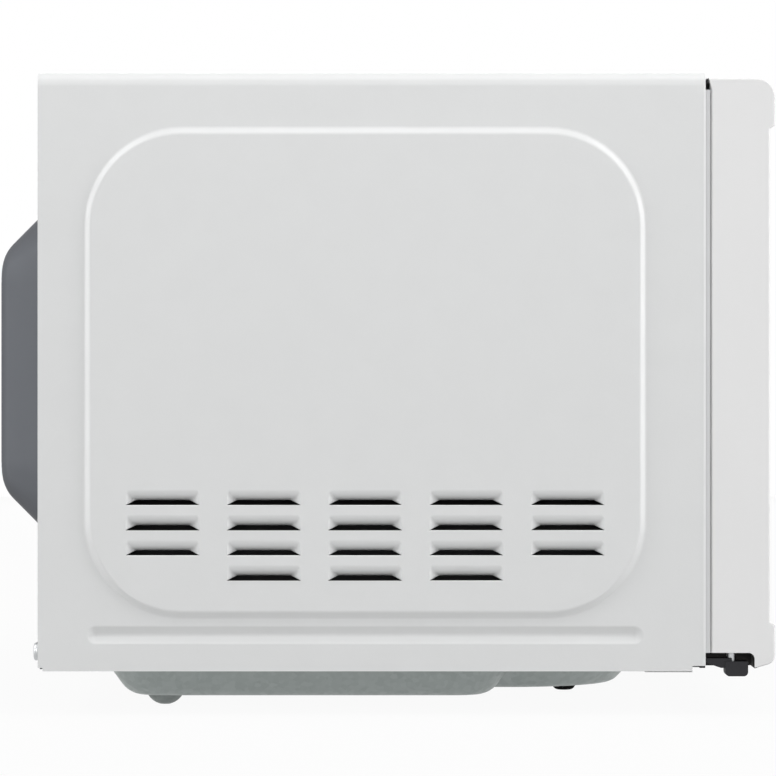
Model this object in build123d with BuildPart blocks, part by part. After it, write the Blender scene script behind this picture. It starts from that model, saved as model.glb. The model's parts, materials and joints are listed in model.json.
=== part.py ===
from build123d import *
from math import atan, degrees, hypot
import os

os.makedirs("parts", exist_ok=True)

# Counter-top microwave oven, millimetres. +Z is up, the door faces -Y and is hinged on the left, at -X.
# The origin is on the floor, under the middle of the whole oven.

# Cabinet
cabinet_width = 440.0
cabinet_height = 246.0
cabinet_depth = 274.0
base_clearance = 18.0
sheet = 0.8
sheet_fit = 0.2
bend_radius = 6.0
cover_lip = 8.0
rear_flange = 12.0
front_flange = 12.0
front_notch_length = 5.4
front_notch_height = 2.2
plate_lip = 2.0
plate_lip_sheet = 0.5
plate_lip_drop = 1.2
corner_notch = 11.0
corner_notch_drop = 3.5
corner_notch_depth = 1.4
rear_notch_length = 2.0
rear_notch_height = 1.4
edge_tab_length = 19.3
edge_tab_drop = 0.4
under_notch = 12.0
under_notch_lift = 1.8

# Rear of the cabinet
cover_screw_radius = 1.5
cover_screw_length = 8.0
cover_screw_head_radius = 3.75
cover_screw_head = 2.0
cover_screw_lift = 7.8
cover_screw_top_x = 110.0
vent_length = 20.0
vent_width = 3.2
vent_pitch_x = 25.0
vent_pitch_z = 8.0
vent_columns = 4
vent_rows = 11
bush_radius = 7.0
bush_collar_radius = 10.0
bush_bore_radius = 4.0
bush_length = 12.0
bush_collar = 3.0
bush_lift = 30.0
bush_inset_x = 34.0
fan_lift = 140.0

# Raised panel, groove and louvres of the cover's sides
panel_front_margin = 24.7
panel_rear_margin = 19.3
panel_radius = 40.0
panel_rise = 2.0
panel_slope = 2.4
panel_lift = 22.0
panel_drop = 23.0
groove_margin = 1.0
groove_width = 7.0
groove_depth = 1.6
groove_lift = 14.9
groove_angle = 61.0
louvre_width = 30.0
louvre_end_radius = 2.0
louvre_hood = 6.4
louvre_depth = 4.0
louvre_slot = 1.9
louvre_end_slope = 4.0
louvre_pitch_y = 41.5
louvre_pitch_z = 10.3
louvre_lift = 37.4
louvre_columns = 5
louvre_rows = 4

# Drawn back
bulge_depth = 22.5
bulge_margin_x = 33.0
bulge_margin_low = 27.9
bulge_margin_high = 25.1
bulge_radius = 36.0
bulge_rim_radius = 16.0
bulge_angle = 45.0

# Base pan
pan_inset = 44.0
pan_drop = 14.5
pan_rear_y = 105.8
pan_front_y = -47.0
pan_slope = 10.7
pan_corner = 14.0
pan_edge_radius = 11.0
step_inset = 65.0
step_drop = 12.4
step_front_y = -102.0
step_lap = 20.0
step_slope = 12.0
step_corner = 45.0
step_edge_radius = 6.0
dome_radius = 8.7
dome_flat = 0.3
dome_inset = 16.0
dome_y = 91.0
foot_x = 82.0
foot_y = -82.0
foot_radius = 5.1
foot_stem_radius = 2.0
foot_stem_grip = 3.0
hole_play = 0.2
through_cut = 60.0

# Oven cavity
compartment_width = 119.0
cavity_drop = 24.0
cavity_side_gap = 14.2
cavity_lift = 22.0
mouth_radius = 8.0
turntable_shift = 5.0
track_radius = 95.0
track_width = 22.0
track_depth = 2.0
floor_bore_radius = 8.0

# Openings of the cavity's right wall
aperture_length = 70.0
aperture_height = 50.0
aperture_radius = 5.0
guide_y = 40.0
guide_drop = 50.0
lamp_y = -70.0
lamp_drop = 32.0
lamp_hole_radius = 1.8
lamp_hole_pitch = 6.0
lamp_hole_columns = 4
lamp_hole_rows = 3
air_y = -70.0
air_drop = 92.0
air_slot_length = 9.0
air_slot_width = 2.4
air_pitch_y = 13.0
air_pitch_z = 6.0
air_columns = 4
air_rows = 5

# Door and control panel
door_depth = 25.5
door_gap = 3.0
door_inset = 0.5
door_top_drop = 2.7
door_bottom_rise = 1.0
door_wall = 2.0
control_gap = 1.5
control_window_margin = 26.5
control_window_edge = 8.0
control_window_rise = 14.0
rail_top = 19.3
rail_bottom = 18.0
rail_step = 2.1
rail_step_slope = 1.2
rail_corner = 7.5
rail_chamfer_y = 8.5
rail_chamfer_z = 2.6
rail_chamfer_radius = 4.0
rail_bottom_radius = 8.0
seal_gap = 0.6
window_margin = 4.5
window_thickness = 2.0
window_play = 0.2
frame_flange = 2.0
choke_reach_x = 6.5
choke_reach_right = 10.0
choke_reach_z = 9.0
choke_reach_top = 7.0
choke_width = 20.0
choke_cover_thickness = 1.8
choke_lap = 2.0
inner_window_thickness = 1.2
sight_margin = 10.0

# Hinges
pin_inset_x = 6.0
pin_inset_y = 8.0
pin_radius = 2.0
pin_clearance = 0.05
recess_reach = 9.1
recess_width = 19.5
recess_height = 6.5
recess_radius = 2.5
relief_drop = 0.4
relief_end_height = 5.2
relief_end_depth = 1.9
hinge_arm_width = 8.0
hinge_arm_height = 4.0
hinge_arm_rise = 2.2
hinge_arm_run = 6.5
hinge_tab_length = 9.4
hinge_tab_width = 9.4
hinge_tab_height = 6.1
hinge_tab_radius = 1.8
hinge_tab_top = 3.6
hinge_tab_forward = 1.9
hinge_flange = 1.5
hinge_flange_height = 16.0
boss_play = 0.5
boss_lower_height = 5.0
boss_upper_height = 4.0
neck_thickness = 2.0
neck_width = 5.0
neck_drop = 3.0
neck_reach = 17.5
neck_end_radius = 3.6

# Latch, release button and lever
hook_thickness = 3.0
hook_bar_depth = 14.0
hook_arm_height = 6.0
hook_barb = 3.5
hook_barb_length = 4.0
hook_reach = 16.0
hook_low_lift = 66.0
hook_pitch = 112.0
hook_tail = 14.0
hook_travel = 4.5
hook_side_play = 1.5
hook_gap = 2.5
hook_door_gap = 3.5
guide_play = 0.3
spring_radius = 2.5
spring_wire = 0.7
spring_length = 18.0
ledge_thickness = 2.0
button_height = 24.0
button_margin = 7.5
button_lift = 25.0
button_proud = 0.5
button_depth = 10.0
button_edge_radius = 1.2
button_play = 0.5
stem_size = 4.0
stem_shift = 11.5
lever_gap = 0.5
lever_pivot_lift = 52.0
lever_pivot_back = 29.2
lever_hub_radius = 4.5
lever_bore_play = 0.05
lever_pin_radius = 2.0
lever_pad = 6.0
lever_pad_drop = 12.0
lever_pad_reach = 14.0
lever_web = 3.0
lever_arm_width = 5.0
lever_arm_reach = 18.0
lever_arm_height = 3.8
paddle_width = 8.0
bracket_wall = 2.5
bracket_margin = 8.0
bracket_top = 20.0
bracket_edge = 4.0
switch_width = 10.0
switch_depth = 16.0
switch_height = 28.0
switch_plunger = 1.6
switch_setback = 4.0

# Controls
sheet_margin = 6.0
sheet_thickness = 0.6
keypad_rise = 6.0
display_margin = 14.0
display_height = 24.0
display_drop = 12.0
lens_thickness = 2.2
board_thickness = 1.6
board_standoff = 6.0
board_margin = 8.0
board_drop = 6.0
board_height = 130.0
board_post_radius = 3.0
board_post_inset = 6.0
relay_width = 16.0
relay_depth = 15.0
relay_height = 24.0
relay_pitch = 30.0
relay_count = 3

# Microwave source
guide_depth = 30.0
guide_length = 90.0
guide_height = 66.0
guide_flange = 8.0
mica_margin = 4.0
mica_thickness = 0.5
antenna_radius = 8.0
antenna_length = 18.0
yoke_plate = 2.0
yoke_length = 58.0
yoke_depth = 80.0
yoke_height = 64.0
anode_radius = 20.0
fin_thickness = 1.0
fin_count = 5
fin_margin = 4.0
filter_box = 18.0
filter_box_size = 40.0
core_stack = 40.0
core_length = 80.0
core_height = 66.0
core_leg = 20.0
core_window = 16.0
core_yoke = 15.0
core_shift_x = 16.0
core_y = 0.0
coil_overhang = 11.0
coil_play = 0.2
coil_gap = 2.0
capacitor_length = 52.0
capacitor_width = 32.0
capacitor_height = 80.0
capacitor_shift_x = 30.2
capacitor_y = 72.0
terminal_height = 8.0
terminal_width = 6.0
clamp_band = 1.2
clamp_height = 10.0
clamp_lift = 22.0
clamp_foot = 9.0
filter_board_inset = 26.0
filter_board_y = -20.0
filter_board_length = 80.0
filter_board_height = 60.0
choke_coil_radius = 11.0
choke_coil_length = 16.0

# Fan
fan_radius = 42.0
fan_opening_radius = 46.0
fan_frame_half = 52.0
fan_frame_depth = 22.0
fan_frame_wall = 2.0
fan_hub_radius = 10.0
fan_hub_length = 12.0
fan_blades = 5
fan_blade_width = 20.0
fan_blade_thickness = 1.6
fan_blade_pitch = 32.0
fan_setback = 3.5
fan_motor_radius = 20.0
fan_motor_length = 22.0
fan_shaft_radius = 2.5
shaft_play = 0.05
spider_arms = 4
spider_width = 8.0

# Turntable
motor_radius = 24.0
motor_height = 17.0
drive_shaft_radius = 3.0
coupler_radius = 7.0
coupler_arm_length = 17.0
coupler_arm_width = 7.0
coupler_lift = 2.0
coupler_arms = 3
wheel_radius = 7.0
wheel_width = 6.0
wheel_count = 3
axle_radius = 2.0
roller_play = 0.3
ring_width = 6.0
ring_height = 6.0
ring_gap = 4.0
tray_radius = 122.5
tray_flat_radius = 108.0
tray_thickness = 4.0
tray_rise = 7.0
tray_lug = 6.0
tray_lug_radius = 11.0

# Lamp and thermal cut-out
lamp_box_length = 28.0
lamp_box_height = 24.0
lamp_box_depth = 24.0
lamp_box_wall = 1.5
bulb_radius = 7.0
bulb_base_radius = 5.0
bulb_base_length = 8.0
cutout_shift_x = 32.0
cutout_y = 60.0
cutout_radius = 8.0
cutout_height = 8.0
cutout_plate = 1.0
cutout_plate_length = 24.0

# Places worked out from the sizes above
total_depth = door_depth + door_gap + cabinet_depth + bulge_depth
front_y = -total_depth / 2
door_back_y = front_y + door_depth
cover_front_y = door_back_y + door_gap
cover_rear_y = cover_front_y + cabinet_depth
cover_bottom_z = base_clearance
cover_top_z = cover_bottom_z + cabinet_height
half_width = cabinet_width / 2
inner_half = half_width - sheet - sheet_fit
inner_top_z = cover_top_z - sheet - sheet_fit
rim_z = cover_bottom_z + sheet
rim_top_z = rim_z + sheet
rear_outer_y = cover_rear_y - sheet
rear_inner_y = rear_outer_y - sheet
plate_back_y = cover_front_y + sheet
cavity_left_x = -half_width + sheet + cavity_side_gap
cavity_right_x = half_width - compartment_width
cavity_width = cavity_right_x - cavity_left_x
cavity_mid_x = (cavity_left_x + cavity_right_x) / 2
cavity_floor_z = cover_bottom_z + cavity_lift
cavity_top_z = cover_top_z - cavity_drop
cavity_height = cavity_top_z - cavity_floor_z
cavity_mid_y = (plate_back_y + rear_inner_y) / 2
turntable_y = cavity_mid_y + turntable_shift
cell_left_x = cavity_right_x + sheet
cell_right_x = inner_half - sheet - sheet_fit
cell_mid_x = (cell_left_x + cell_right_x) / 2
door_left_x = -half_width + door_inset
control_right_x = half_width - door_inset
choke_right_x = cavity_right_x + choke_reach_right
hook_x = choke_right_x + hook_gap + hook_thickness / 2
door_right_x = hook_x + hook_thickness / 2 + hook_door_gap + door_wall
control_left_x = door_right_x + control_gap
control_width = control_right_x - control_left_x
door_top_z = cover_top_z - door_top_drop
door_bottom_z = cover_bottom_z + door_bottom_rise
seal_y = cover_front_y - seal_gap
middle_y = front_y + rail_step
pocket_y = middle_y + window_thickness + window_play
flange_y = pocket_y + frame_flange
pin_x = door_left_x + pin_inset_x
pin_y = door_back_y - pin_inset_y
swing_radius = hypot(pin_inset_x, pin_inset_y)
recess_top_z = door_bottom_z + recess_height
recess_front_y = pin_y - recess_reach
recess_right_x = door_left_x + recess_width
choke_left_x = cavity_left_x - choke_reach_x
choke_bottom_z = cavity_floor_z - choke_reach_z
choke_top_z = cavity_top_z + choke_reach_top
choke_back_y = seal_y - choke_cover_thickness
boss_lower_top_z = recess_top_z + boss_lower_height
boss_upper_z = choke_top_z + boss_play
neck_z = boss_upper_z + boss_upper_height + boss_play
hook_front_y = flange_y + guide_play
hook_tip_y = cover_front_y + hook_reach
hook_low_z = cover_bottom_z + hook_low_lift
hook_zs = (hook_low_z, hook_low_z + hook_pitch)
button_z = door_bottom_z + button_lift
lever_y = plate_back_y + lever_pivot_back
lever_z = cover_bottom_z + lever_pivot_lift
stem_x = control_left_x + stem_shift
stem_z = lever_z - lever_pad_drop - stem_size / 2 - lever_gap


def block(xs, ys, zs, mode=Mode.ADD):
    with Locations((sum(xs) / 2, sum(ys) / 2, sum(zs) / 2)):
        Box(xs[1] - xs[0], ys[1] - ys[0], zs[1] - zs[0], mode=mode)


# Cabinet cover: one sheet bent over the top and both sides
panel_ys = (cover_front_y + panel_front_margin, cover_rear_y - panel_rear_margin)
panel_zs = (cover_bottom_z + panel_lift, cover_top_z - panel_drop)
panel_mid_y = sum(panel_ys) / 2
panel_mid_z = sum(panel_zs) / 2
panel_length = panel_ys[1] - panel_ys[0]
panel_height = panel_zs[1] - panel_zs[0]
groove_length = panel_length - 2 * groove_margin
groove_z = cover_bottom_z + groove_lift
panel_taper = degrees(atan(panel_slope / panel_rise))
louvre_top_z = cover_bottom_z + louvre_lift + (louvre_rows - 1) * louvre_pitch_z
screw_side_x = half_width - rear_flange / 2
screw_top_z = cover_top_z - rear_flange / 2
cover_screw_places = [
    (side * x, cover_rear_y, z)
    for side in (-1, 1)
    for x, z in ((screw_side_x, cover_bottom_z + cover_screw_lift), (cover_screw_top_x, screw_top_z))
]


def louvre_places(side):
    places = []
    for column in range(louvre_columns):
        outer_column = column in (0, louvre_columns - 1)
        for row in range(louvre_rows - 1 if outer_column else louvre_rows):
            y = panel_mid_y + (column - (louvre_columns - 1) / 2) * louvre_pitch_y
            z = louvre_top_z - row * louvre_pitch_z
            places.append(Location((side * (half_width + panel_rise), y, z), (0, 0, side * 90)))
    return places


# Louvre: the sheet above a tapered cut is bent inwards round an arc. Local Y points inwards.
flap_radius = (louvre_depth**2 + (louvre_hood - louvre_slot) ** 2) / (2 * louvre_depth)


def louvre_bend(radius, half_width_out):
    with BuildPart() as bend:
        with BuildSketch(Plane.YZ.offset(-half_width_out)):
            Rectangle(louvre_depth, louvre_hood, align=(Align.MIN, Align.MIN))
            with Locations((flap_radius, louvre_hood)):
                Circle(radius, mode=Mode.SUBTRACT)
        extrude(amount=2 * half_width_out)
        with BuildSketch():
            with BuildLine():
                Polyline(
                    (-half_width_out, 0),
                    (half_width_out, 0),
                    (half_width_out - louvre_end_slope, louvre_depth),
                    (louvre_end_slope - half_width_out, louvre_depth),
                    close=True,
                )
            make_face()
        extrude(amount=louvre_hood, mode=Mode.INTERSECT)
        fillet(edges().filter_by(GeomType.ELLIPSE), louvre_end_radius)
    return bend.part


louvre_shell = louvre_bend(flap_radius - sheet, louvre_width / 2 + sheet)
louvre_void = louvre_bend(flap_radius, louvre_width / 2)

with BuildPart() as louvre_cut:
    with BuildSketch(Plane.XZ):
        with BuildLine():
            Polyline(
                (-louvre_width / 2, 0),
                (louvre_width / 2, 0),
                (louvre_width / 2 - louvre_end_slope, louvre_slot),
                (louvre_end_slope - louvre_width / 2, louvre_slot),
                close=True,
            )
        make_face()
    extrude(amount=-(louvre_depth + sheet))

with BuildPart() as cabinet_cover:
    with BuildSketch(Plane.XZ.offset(-cover_rear_y)):
        with Locations((0, (cover_bottom_z + cover_top_z) / 2)):
            Rectangle(cabinet_width, cabinet_height)
        fillet(vertices().group_by(Axis.Y)[-1], bend_radius)
    extrude(amount=cabinet_depth)
    with BuildSketch(Plane.XZ.offset(-rear_outer_y)):
        with Locations((0, (cover_bottom_z + cover_top_z) / 2)):
            Rectangle(cabinet_width - 2 * sheet, cabinet_height - 2 * sheet)
        fillet(vertices().group_by(Axis.Y)[-1], bend_radius - sheet)
    extrude(amount=cabinet_depth, mode=Mode.SUBTRACT)
    # Opening under the cabinet, inside the folded lower lips
    lip_half = half_width - sheet - cover_lip
    block((-lip_half, lip_half), (cover_front_y, rear_outer_y), (cover_bottom_z, rim_z), Mode.SUBTRACT)
    # Opening of the back, inside the rear flange
    flange_half = half_width - rear_flange
    block(
        (-flange_half, flange_half),
        (rear_outer_y, cover_rear_y),
        (cover_bottom_z, cover_top_z - rear_flange),
        Mode.SUBTRACT,
    )
    for side in (-1, 1):
        outward = Plane((side * half_width, panel_mid_y, panel_mid_z), x_dir=(0, 1, 0), z_dir=(side, 0, 0))
        with BuildSketch(outward):
            RectangleRounded(panel_length, panel_height, panel_radius)
        extrude(amount=panel_rise, taper=panel_taper)
        with BuildSketch(outward.offset(-sheet)):
            RectangleRounded(panel_length, panel_height, panel_radius)
        extrude(amount=panel_rise, taper=panel_taper, mode=Mode.SUBTRACT)
        groove_mid = (side * half_width, panel_mid_y, groove_z)
        inward = Plane(groove_mid, x_dir=(0, 1, 0), z_dir=(-side, 0, 0))
        with BuildSketch(inward.offset(sheet)):
            SlotOverall(groove_length, groove_width)
        extrude(amount=groove_depth, taper=groove_angle)
        with BuildSketch(inward):
            SlotOverall(groove_length, groove_width)
        extrude(amount=groove_depth, taper=groove_angle, mode=Mode.SUBTRACT)
    louvre_spots = louvre_places(-1) + louvre_places(1)
    add([louvre_shell.moved(spot) for spot in louvre_spots])
    add([louvre_void.moved(spot) for spot in louvre_spots], mode=Mode.SUBTRACT)
    add([louvre_cut.part.moved(spot) for spot in louvre_spots], mode=Mode.SUBTRACT)
    # Tabs under the lower lips, and notches at the ends of the lower edges
    tab_ys = (cover_front_y + front_notch_length, cover_front_y + front_notch_length + edge_tab_length)
    for xs in ((-half_width + sheet, -lip_half), (lip_half, half_width - sheet)):
        block(xs, tab_ys, (cover_bottom_z - edge_tab_drop, cover_bottom_z))
    block(
        (-half_width, half_width),
        (cover_front_y, cover_front_y + front_notch_length),
        (cover_bottom_z, cover_bottom_z + front_notch_height),
        Mode.SUBTRACT,
    )
    block(
        (-half_width, half_width),
        (cover_rear_y - rear_notch_length, cover_rear_y),
        (cover_bottom_z, cover_bottom_z + rear_notch_height),
        Mode.SUBTRACT,
    )
    with Locations(*cover_screw_places):
        Cylinder(cover_screw_radius + hole_play, through_cut, rotation=(90, 0, 0), mode=Mode.SUBTRACT)
cabinet_cover.part.label = "cabinet_cover"
export_step(cabinet_cover.part, "parts/cabinet_cover.step")

# Cover screws: pan heads on the rear flange
with BuildPart() as cover_screws:
    with Locations(*cover_screw_places):
        Cylinder(
            cover_screw_head_radius,
            cover_screw_head,
            rotation=(-90, 0, 0),
            align=(Align.CENTER, Align.CENTER, Align.MIN),
        )
    fillet(edges().filter_by(GeomType.CIRCLE).group_by(Axis.Y)[-1], cover_screw_head / 2)
    with Locations(*cover_screw_places):
        Cylinder(
            cover_screw_radius,
            cover_screw_length,
            rotation=(90, 0, 0),
            align=(Align.CENTER, Align.CENTER, Align.MIN),
        )
cover_screws.part.label = "cover_screws"
export_step(cover_screws.part, "parts/cover_screws.step")

# Rear panel: flat sheet with the deep-drawn back of the cavity, fan vents and the cord inlet
rear_face = Plane((0, rear_outer_y, 0), x_dir=(-1, 0, 0), z_dir=(0, 1, 0))
bulge_width = cavity_width - 2 * bulge_margin_x
bulge_zs = (cavity_floor_z + bulge_margin_low, cavity_top_z - bulge_margin_high)
bulge_z = sum(bulge_zs) / 2
bulge_draw = bulge_depth + sheet
fan_x = cell_mid_x
fan_z = cover_bottom_z + fan_lift
bush_x = half_width - bush_inset_x
bush_z = cover_bottom_z + bush_lift

with BuildPart() as bulge_form:
    with BuildSketch(rear_face):
        with Locations((-cavity_mid_x, bulge_z)):
            RectangleRounded(bulge_width, bulge_zs[1] - bulge_zs[0], bulge_radius)
    extrude(amount=bulge_draw, taper=bulge_angle)
    fillet(faces().sort_by(Axis.Y)[-1].edges(), bulge_rim_radius)

with BuildPart() as rear_panel:
    with BuildSketch(rear_face):
        with Locations((0, (rim_z + inner_top_z) / 2)):
            Rectangle(2 * inner_half, inner_top_z - rim_z)
        fillet(vertices().group_by(Axis.Y)[-1], bend_radius)
        with Locations((-fan_x, fan_z)):
            with GridLocations(vent_pitch_x, vent_pitch_z, vent_columns, vent_rows):
                SlotOverall(vent_length, vent_width, mode=Mode.SUBTRACT)
        with Locations((-bush_x, bush_z)):
            Circle(bush_radius + hole_play, mode=Mode.SUBTRACT)
        with Locations(*[(-x, z) for x, y, z in cover_screw_places]):
            Circle(cover_screw_radius + hole_play, mode=Mode.SUBTRACT)
    extrude(amount=-sheet)
    add(bulge_form.part)
    add(bulge_form.part.moved(Location((0, -sheet, 0))), mode=Mode.SUBTRACT)
rear_panel.part.label = "rear_panel"
export_step(rear_panel.part, "parts/rear_panel.step")

# Cord bush: collared sleeve in the rear panel's inlet hole
with BuildPart() as cord_bush:
    with BuildSketch(rear_face):
        with Locations((-bush_x, bush_z)):
            Circle(bush_collar_radius)
    extrude(amount=bush_collar)
    fillet(faces().sort_by(Axis.Y)[-1].edges(), bush_collar / 2)
    with BuildSketch(rear_face):
        with Locations((-bush_x, bush_z)):
            Circle(bush_radius)
    extrude(amount=-bush_length)
    with Locations((bush_x, rear_outer_y, bush_z)):
        Cylinder(bush_bore_radius, through_cut, rotation=(90, 0, 0), mode=Mode.SUBTRACT)
cord_bush.part.label = "cord_bush"
export_step(cord_bush.part, "parts/cord_bush.step")

# Base plate: drawn pan with a shallower front step and two dome feet at the rear
pan_bottom_z = rim_z - pan_drop
step_bottom_z = rim_z - step_drop
rim_half = inner_half - sheet - sheet_fit
pan_rim = Plane((0, 0, rim_z), x_dir=(1, 0, 0), z_dir=(0, 0, -1))
pan_half_width = half_width - pan_inset
step_half_width = half_width - step_inset
step_rear_y = pan_rear_y - step_lap
dome_x = pan_half_width - dome_inset
dome_places = [(side * dome_x, dome_y, dome_radius - dome_flat) for side in (-1, 1)]

under_notch_xs = ((-inner_half, -inner_half + under_notch), (inner_half - under_notch, inner_half))
under_notch_ys = (cover_front_y, cover_front_y + front_notch_length + sheet)

with BuildPart() as step_form:
    with BuildSketch(pan_rim):
        with Locations((0, -(step_rear_y + step_front_y) / 2)):
            RectangleRounded(
                2 * (step_half_width + step_slope),
                step_rear_y - step_front_y + 2 * step_slope,
                step_corner + step_slope,
            )
    extrude(amount=step_drop, taper=degrees(atan(step_slope / step_drop)))
    fillet(faces().sort_by(Axis.Z)[0].edges(), step_edge_radius)

with BuildPart() as pan_form:
    with BuildSketch(pan_rim):
        with Locations((0, -(pan_rear_y + pan_front_y) / 2)):
            RectangleRounded(
                2 * (pan_half_width + pan_slope),
                pan_rear_y - pan_front_y + 2 * pan_slope,
                pan_corner + pan_slope,
            )
    extrude(amount=pan_drop, taper=degrees(atan(pan_slope / pan_drop)))
    fillet(faces().sort_by(Axis.Z)[0].edges(), pan_edge_radius)
    add(step_form.part)
    with Locations(*dome_places):
        Sphere(dome_radius)
    block((-half_width, half_width), (0, rear_inner_y), (-dome_flat, 0), Mode.SUBTRACT)

with BuildPart() as base_plate:
    block((-rim_half, rim_half), (plate_back_y, rear_inner_y), (rim_z, rim_top_z))
    add(pan_form.part)
    add(pan_form.part.moved(Location((0, 0, sheet))), mode=Mode.SUBTRACT)
    with Locations((-foot_x, foot_y, step_bottom_z), (foot_x, foot_y, step_bottom_z)):
        Cylinder(foot_stem_radius + hole_play, through_cut, mode=Mode.SUBTRACT)
    for xs in under_notch_xs:
        block(xs, under_notch_ys, (rim_z, rim_z + under_notch_lift), Mode.SUBTRACT)
base_plate.part.label = "base_plate"
export_step(base_plate.part, "parts/base_plate.step")

# Rubber feet: pushed into the base plate's front holes
with BuildPart() as rubber_feet:
    for side in (-1, 1):
        with Locations((side * foot_x, foot_y, 0)):
            Cylinder(foot_radius, step_bottom_z, align=(Align.CENTER, Align.CENTER, Align.MIN))
        with Locations((side * foot_x, foot_y, step_bottom_z)):
            Cylinder(
                foot_stem_radius,
                sheet + foot_stem_grip,
                align=(Align.CENTER, Align.CENTER, Align.MIN),
            )
    fillet(edges().filter_by(GeomType.CIRCLE).group_by(Axis.Z)[0], foot_radius / 2)
rubber_feet.part.label = "rubber_feet"
export_step(rubber_feet.part, "parts/rubber_feet.step")

# Front plate: flat steel face round the cavity's mouth, folded back inside the cover
front_face = Plane((0, cover_front_y, 0), x_dir=(1, 0, 0), z_dir=(0, -1, 0))
arm_z = recess_top_z - boss_play - hinge_arm_height - hinge_tab_top / 2
neck_x = pin_x + neck_reach
plate_mid_z = (rim_z + inner_top_z) / 2
plate_height = inner_top_z - rim_z
stem_hole = stem_size + 2 * button_play
slot_low = hook_travel + boss_play
slot_height = hook_arm_height + hook_barb + slot_low + boss_play
window_left_x = control_left_x + control_window_margin
window_right_x = control_right_x - control_window_edge
window_top_z = door_top_z - control_window_edge
window_bottom_z = lever_z + control_window_rise
mouth_mid_z = (cavity_floor_z + cavity_top_z) / 2

with BuildPart() as front_plate:
    with BuildSketch(front_face):
        with Locations((0, plate_mid_z)):
            Rectangle(2 * inner_half, plate_height)
        fillet(vertices().group_by(Axis.Y)[-1], bend_radius)
    extrude(amount=-(sheet + front_flange))
    with BuildSketch(front_face.offset(-sheet)):
        with Locations((0, plate_mid_z - sheet)):
            Rectangle(2 * (inner_half - sheet), plate_height)
        fillet(vertices().group_by(Axis.Y)[-1], bend_radius - sheet)
    extrude(amount=-front_flange, mode=Mode.SUBTRACT)
    with BuildSketch(front_face):
        with Locations((cavity_mid_x, mouth_mid_z)):
            RectangleRounded(cavity_width, cavity_height, mouth_radius)
        with Locations(*[(hook_x, z - slot_low + slot_height / 2) for z in hook_zs]):
            Rectangle(hook_thickness + 2 * hook_side_play, slot_height)
        with Locations((stem_x, stem_z)):
            Rectangle(stem_hole, stem_hole)
        with Locations((pin_x, arm_z + hinge_arm_height / 2)):
            Rectangle(hinge_arm_width + 2 * hole_play, hinge_arm_height + 2 * hole_play)
        with Locations((neck_x, neck_z + neck_thickness / 2)):
            Rectangle(neck_width + 2 * hole_play, neck_thickness + 2 * hole_play)
        with Locations(((window_left_x + window_right_x) / 2, (window_bottom_z + window_top_z) / 2)):
            Rectangle(window_right_x - window_left_x, window_top_z - window_bottom_z)
    extrude(amount=-sheet, mode=Mode.SUBTRACT)
    # Lip beside the door's hinged edge, and a corner notch that the door's top corner swings through
    notch_z = door_top_z - corner_notch_drop
    block(
        (-inner_half, -inner_half + plate_lip_sheet),
        (cover_front_y - plate_lip, cover_front_y),
        (recess_top_z, notch_z - plate_lip_drop),
    )
    for xs in under_notch_xs:
        block(xs, under_notch_ys, (rim_z, rim_z + under_notch_lift), Mode.SUBTRACT)
    block(
        (-inner_half, -inner_half + corner_notch),
        (cover_front_y, cover_front_y + corner_notch_depth),
        (notch_z, inner_top_z),
        Mode.SUBTRACT,
    )
front_plate.part.label = "front_plate"
export_step(front_plate.part, "parts/front_plate.step")

# Cavity floor with a shallow roller track round the drive hole
wall_left_x = cavity_left_x - sheet
wall_right_x = cavity_right_x + sheet
track_z = cavity_floor_z - track_depth

with BuildPart() as cavity_floor:
    floor_zs = (cavity_floor_z - sheet, cavity_floor_z)
    block((wall_left_x, wall_right_x), (plate_back_y, rear_inner_y), floor_zs)
    with BuildSketch(Plane.XY.offset(track_z - sheet)):
        with Locations((cavity_mid_x, turntable_y)):
            Circle(track_radius + track_width / 2 + sheet)
            Circle(track_radius - track_width / 2 - sheet, mode=Mode.SUBTRACT)
    extrude(amount=track_depth)
    with BuildSketch(Plane.XY.offset(track_z)):
        with Locations((cavity_mid_x, turntable_y)):
            Circle(track_radius + track_width / 2)
            Circle(track_radius - track_width / 2, mode=Mode.SUBTRACT)
    extrude(amount=track_depth, mode=Mode.SUBTRACT)
    with Locations((cavity_mid_x, turntable_y, cavity_floor_z)):
        Cylinder(floor_bore_radius, through_cut, mode=Mode.SUBTRACT)
cavity_floor.part.label = "cavity_floor"
export_step(cavity_floor.part, "parts/cavity_floor.step")

# Cavity ceiling
with BuildPart() as cavity_ceiling:
    ceiling_zs = (cavity_top_z, cavity_top_z + sheet)
    block((wall_left_x, wall_right_x), (plate_back_y, rear_inner_y), ceiling_zs)
cavity_ceiling.part.label = "cavity_ceiling"
export_step(cavity_ceiling.part, "parts/cavity_ceiling.step")

# Cavity left wall
with BuildPart() as cavity_left_wall:
    wall_zs = (cavity_floor_z, cavity_top_z)
    block((wall_left_x, cavity_left_x), (plate_back_y, rear_inner_y), wall_zs)
cavity_left_wall.part.label = "cavity_left_wall"
export_step(cavity_left_wall.part, "parts/cavity_left_wall.step")

# Cavity right wall: waveguide aperture, lamp holes and air slots
wall_face = Plane((cavity_right_x, 0, 0), x_dir=(0, 1, 0), z_dir=(1, 0, 0))
guide_z = cavity_top_z - guide_drop
lamp_z = cavity_top_z - lamp_drop
air_z = cavity_top_z - air_drop

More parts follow.
